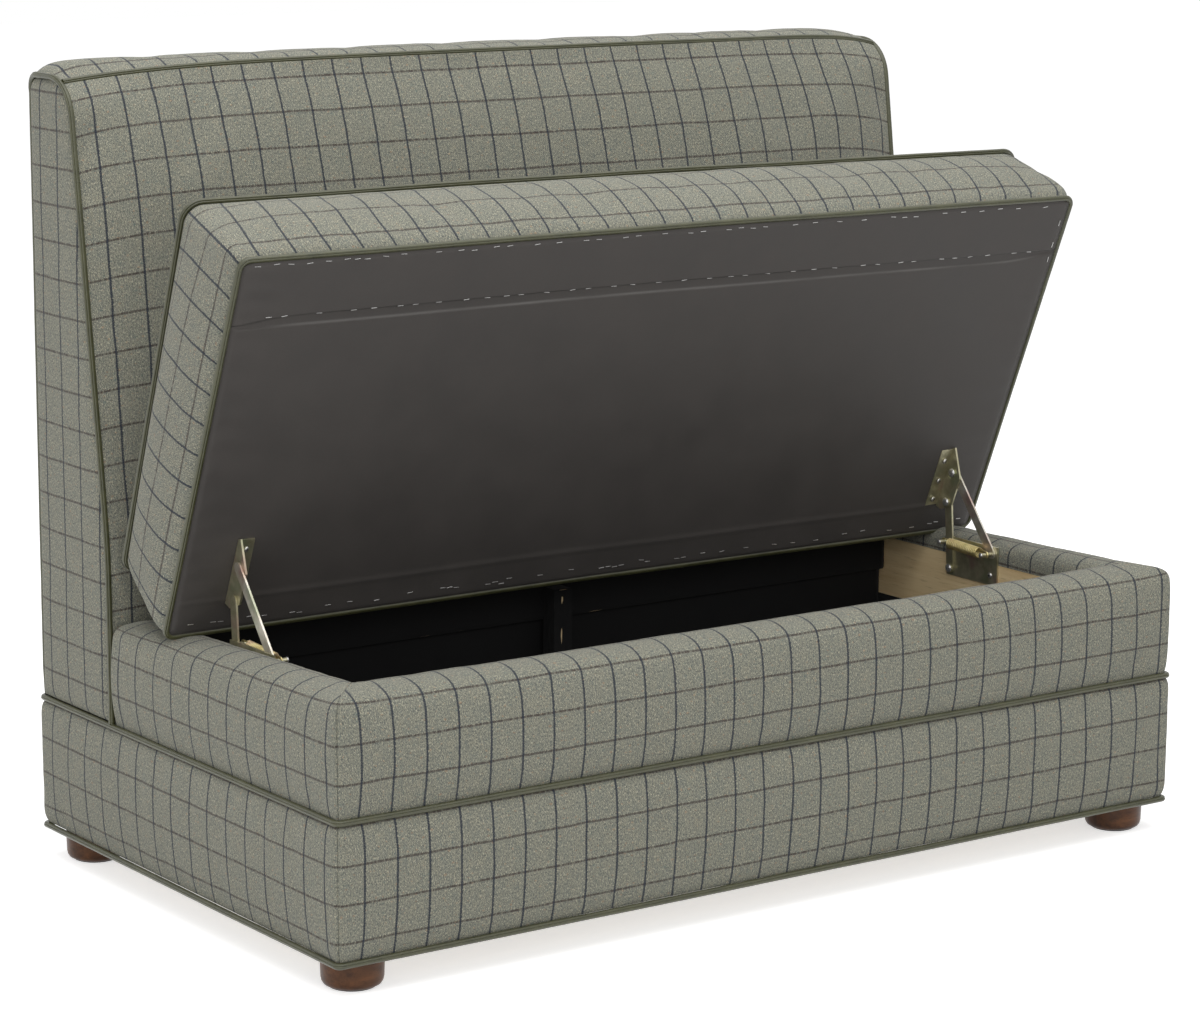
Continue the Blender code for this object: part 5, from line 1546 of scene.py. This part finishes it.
for side, sign in (("left", -1), ("right", 1)):
    points, start, end = coil(sign)
    curve = bpy.data.curves.new(f"coil_{side}", "CURVE")
    curve.dimensions = "3D"
    curve.bevel_depth = SPRING_WIRE
    curve.bevel_resolution = 2
    curve.use_fill_caps = True
    wire = curve.splines.new("POLY")
    wire.points.add(len(points) - 1)
    for spot, place in zip(wire.points, points):
        spot.co = (*place, 1)
    drawn = bpy.data.objects.new(f"coil_{side}", curve)
    scene.collection.objects.link(drawn)
    rested = drawn.evaluated_get(bpy.context.evaluated_depsgraph_get())
    data = bpy.data.meshes.new_from_object(rested)
    bpy.data.objects.remove(drawn, do_unlink=True)
    data.materials.clear()
    data.materials.append(gold_zinc)
    data.shade_smooth()
    spring = bpy.data.objects.new(f"coil_spring_{side}", data)
    scene.collection.objects.link(spring)
    hold = start.lerp(end, SPRING_HELD)
    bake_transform(spring)
    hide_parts(f"hinge_spring_{side}")

# Rivets and screws: steel rivets with domed heads at the pivots and pins of the hinges.
# Cross-headed screws hold the plates to the rails and the brackets to the lid.
RIVET_RADIUS, PIN_END_RADIUS, SCREW_RADIUS = 0.0058, 0.0036, 0.0040
RIVET_X, PIN_END_X, BRACKET_RIVET_X, PLATE_X, FLANGE_X = 0.5323, 0.5171, 0.5298, 0.5372, 0.5218
FLANGE_LEVEL = -0.0028
FLANGE_DEPTHS, FLANGE_TURN = (0.055, 0.083, 0.113), 0.4
PLATE_SCREW = (FRONT_PIVOT[0] + 0.004, REAR_PIVOT[1] + 0.003)


def fastener_tree():
    """Each point gets a domed head, as wide and aimed as its marks say; screws get a cross too."""
    sizes = {"Dome": 0.42, "Cross length": 1.10, "Cross width": 0.22, "Cross height": 0.16}
    tree, given, made = growing_tree("fasteners", sizes, ["Finish", "Recess shade finish"])

    def heads(shape, finish, sockets=()):
        marks = {"Rotation": mark(tree, "aim", "FLOAT_VECTOR"),
                 "Scale": mark(tree, "width", "FLOAT")}
        return scattered(tree, given["Geometry"], shape, given[finish], {**marks, **dict(sockets)})

    ball = tree_node(tree, "GeometryNodeMeshUVSphere", {"Segments": 18, "Rings": 9, "Radius": 1.0})
    smooth = tree_node(tree, "GeometryNodeSetShadeSmooth", {"Geometry": ball.outputs["Mesh"]})
    flat = shader_node(tree, "CombineXYZ", {0: 1.0, 1: 1.0, 2: given["Dome"]})
    dome = tree_node(tree, "GeometryNodeTransform",
                     {"Geometry": smooth.outputs[0], "Scale": flat.outputs[0]})
    # The screws' cross is a dark raised bar: painted shade standing for the shadowed recess of a
    # cross head.
    cross = tree_node(tree, "GeometryNodeJoinGeometry")
    for first, second in (("Cross length", "Cross width"), ("Cross width", "Cross length")):
        size = {0: given[first], 1: given[second], 2: given["Cross height"]}
        bar = tree_node(tree, "GeometryNodeMeshCube",
                        {"Size": shader_node(tree, "CombineXYZ", size).outputs[0]})
        lift = tree_node(tree, "GeometryNodeTransform",
                         {"Geometry": bar.outputs["Mesh"], "Translation": (0.0, 0.0, 0.36)})
        tree.links.new(lift.outputs[0], cross.inputs[0])
    whole = tree_node(tree, "GeometryNodeJoinGeometry")
    tree.links.new(heads(dome.outputs[0], "Finish"), whole.inputs[0])
    crossed = {"Selection": mark(tree, "crossed", "FLOAT")}
    tree.links.new(heads(cross.outputs[0], "Recess shade finish", crossed), whole.inputs[0])
    tree.links.new(whole.outputs[0], made)
    return tree


fasteners = {body: {"places": [], "aim": [], "width": [], "crossed": []}
             for body in ("frame", "rear_arms", "lid")}


def fasten(body, place, aim, width, crossed=0.0):
    for key, value in zip(fasteners[body], (place, aim, width, crossed)):
        fasteners[body][key].append(value)


for sign in (-1, 1):
    inward, outward = (0.0, -sign * math.pi / 2, 0.0), (math.pi - LID_THETA, 0.0, FLANGE_TURN)
    fasten("frame", (sign * RIVET_X, *REAR_PIVOT), inward, RIVET_RADIUS)
    fasten("frame", (sign * (PIN_END_X - 0.0002), *FRONT_PIVOT), inward, PIN_END_RADIUS)
    fasten("frame", (sign * PLATE_X, *PLATE_SCREW), inward, SCREW_RADIUS, 1.0)
    fasten("rear_arms", (sign * PIN_END_X, *on_rear_arm(SPRING_PIN)), inward, PIN_END_RADIUS)
    for tip in (REAR_TIP, FRONT_TIP):
        fasten("lid", (sign * BRACKET_RIVET_X, *tip), inward, RIVET_RADIUS)
    for depth in FLANGE_DEPTHS:
        place = tuple(on_lid(sign * FLANGE_X, depth, FLANGE_LEVEL))
        fasten("lid", place, outward, SCREW_RADIUS, 1.0)
head_tree = fastener_tree()
# Painted shade: the near-black finish of the screws' cross stands for the shade inside the recess.
painted_recess_shade = speckled("painted_recess_shade_finish", 800.0, 2.0, ((0.012, 0.012, 0.011), (0.035, 0.034, 0.030)),
                  (0.55, 0.80), (0.2, 0.0002))
finishes = {"Finish": wire_finish, "Recess shade finish": painted_recess_shade}
for body, rows in fasteners.items():
    marks = {key: rows[key] for key in ("aim", "width", "crossed")}
    grown(f"hinge_fasteners_{body}", head_tree, rows["places"], marks, finishes, body)

# Studio: a pale seamless floor, with soft light from overhead, from the front and from the left.
# Floor and world look plain white and keep the soft shadow; the camera has the photograph's angle.
FLOOR_HALF, FLOOR_GLOW, WORLD_LIGHT = 14, 0.62, 0.52
FOCAL_PIXELS, PHOTO_PIXELS, SENSOR = 3778.76, 1200, 36.0
AZIMUTH, ELEVATION, ROLL = math.radians(-35.277), math.radians(11.124), math.radians(0.2907)
CAMERA_PLACE = (-2.63479, -3.69319, 1.31111)
SOFTBOXES = [("overhead", (-0.3, -0.6, 3.4), (0, 0, 0.4), (4.0, 3.2), 88),
             ("front_fill", (-1.6, -4.2, 2.0), (0, 0, 0.4), (3.0, 2.2), 40),
             ("left_fill", (-4.2, -0.6, 1.7), (0, 0, 0.5), (2.6, 2.2), 26)]


def looked_at(tree):
    """1 on rays from the eye, mirrored or through glass too, and 0 on rays that bring light."""
    ray = shader_node(tree, "LightPath").outputs
    seen = maths(tree, "MAXIMUM", ray["Is Camera Ray"], ray["Is Glossy Ray"])
    return maths(tree, "MAXIMUM", seen, ray["Is Transmission Ray"])


floor_data = bpy.data.meshes.new("studio_floor")
corners = [(x * FLOOR_HALF, y * FLOOR_HALF, 0) for x, y in ((-1, -1), (1, -1), (1, 1), (-1, 1))]
floor_data.from_pydata(corners, [], [(0, 1, 2, 3)])
floor = bpy.data.objects.new("studio_floor", floor_data)
scene.collection.objects.link(floor)
paper, tree, shader = new_finish("white_paper")
shader.inputs["Base Color"].default_value = (0.80, 0.80, 0.80, 1)
shader.inputs["Roughness"].default_value = 0.9
shader.inputs["Specular IOR Level"].default_value = 0.0
glow = shader_node(tree, "Emission", {"Color": (1, 1, 1, 1), "Strength": FLOOR_GLOW})
dark = shader_node(tree, "Emission", {"Color": (0, 0, 0, 1), "Strength": 0.0})
lit = shader_node(tree, "MixShader", {0: looked_at(tree), 1: dark.outputs[0], 2: glow.outputs[0]})
both = shader_node(tree, "AddShader", {0: shader.outputs[0], 1: lit.outputs[0]})
tree.links.new(both.outputs[0], tree.nodes["Material Output"].inputs["Surface"])
floor_data.materials.append(paper)

world = bpy.data.worlds.new("studio")
scene.world = world
world.use_nodes = True
tree = world.node_tree
strength = spread(tree, looked_at(tree), 0.0, 1.0, WORLD_LIGHT, 1.0)
tree.nodes["Background"].inputs["Color"].default_value = (1, 1, 1, 1)
tree.links.new(strength, tree.nodes["Background"].inputs["Strength"])

for name, place, target, size, power in SOFTBOXES:
    lamp = bpy.data.lights.new(name, "AREA")
    lamp.shape = "RECTANGLE"
    lamp.size, lamp.size_y = size
    lamp.energy = power
    box = bpy.data.objects.new(name, lamp)
    box.location = place
    box.rotation_euler = (Vector(target) - Vector(place)).to_track_quat("-Z", "Y").to_euler()
    scene.collection.objects.link(box)

lens = bpy.data.cameras.new("photo_camera")
lens.sensor_width = SENSOR
lens.lens = FOCAL_PIXELS / PHOTO_PIXELS * SENSOR
camera = bpy.data.objects.new("photo_camera", lens)
level = math.cos(ELEVATION)
backward = Vector((math.sin(AZIMUTH) * level, -math.cos(AZIMUTH) * level, math.sin(ELEVATION)))
right = (-backward).cross(Vector((0, 0, 1))).normalized()
over = right.cross(-backward)
level_right = math.cos(ROLL) * right + math.sin(ROLL) * over
level_up = -math.sin(ROLL) * right + math.cos(ROLL) * over
turn = Matrix((level_right, level_up, backward)).transposed().to_4x4()
camera.matrix_world = Matrix.Translation(CAMERA_PLACE) @ turn
scene.collection.objects.link(camera)
scene.camera = camera
scene.view_settings.view_transform = "Standard"

bpy.context.view_layer.update()
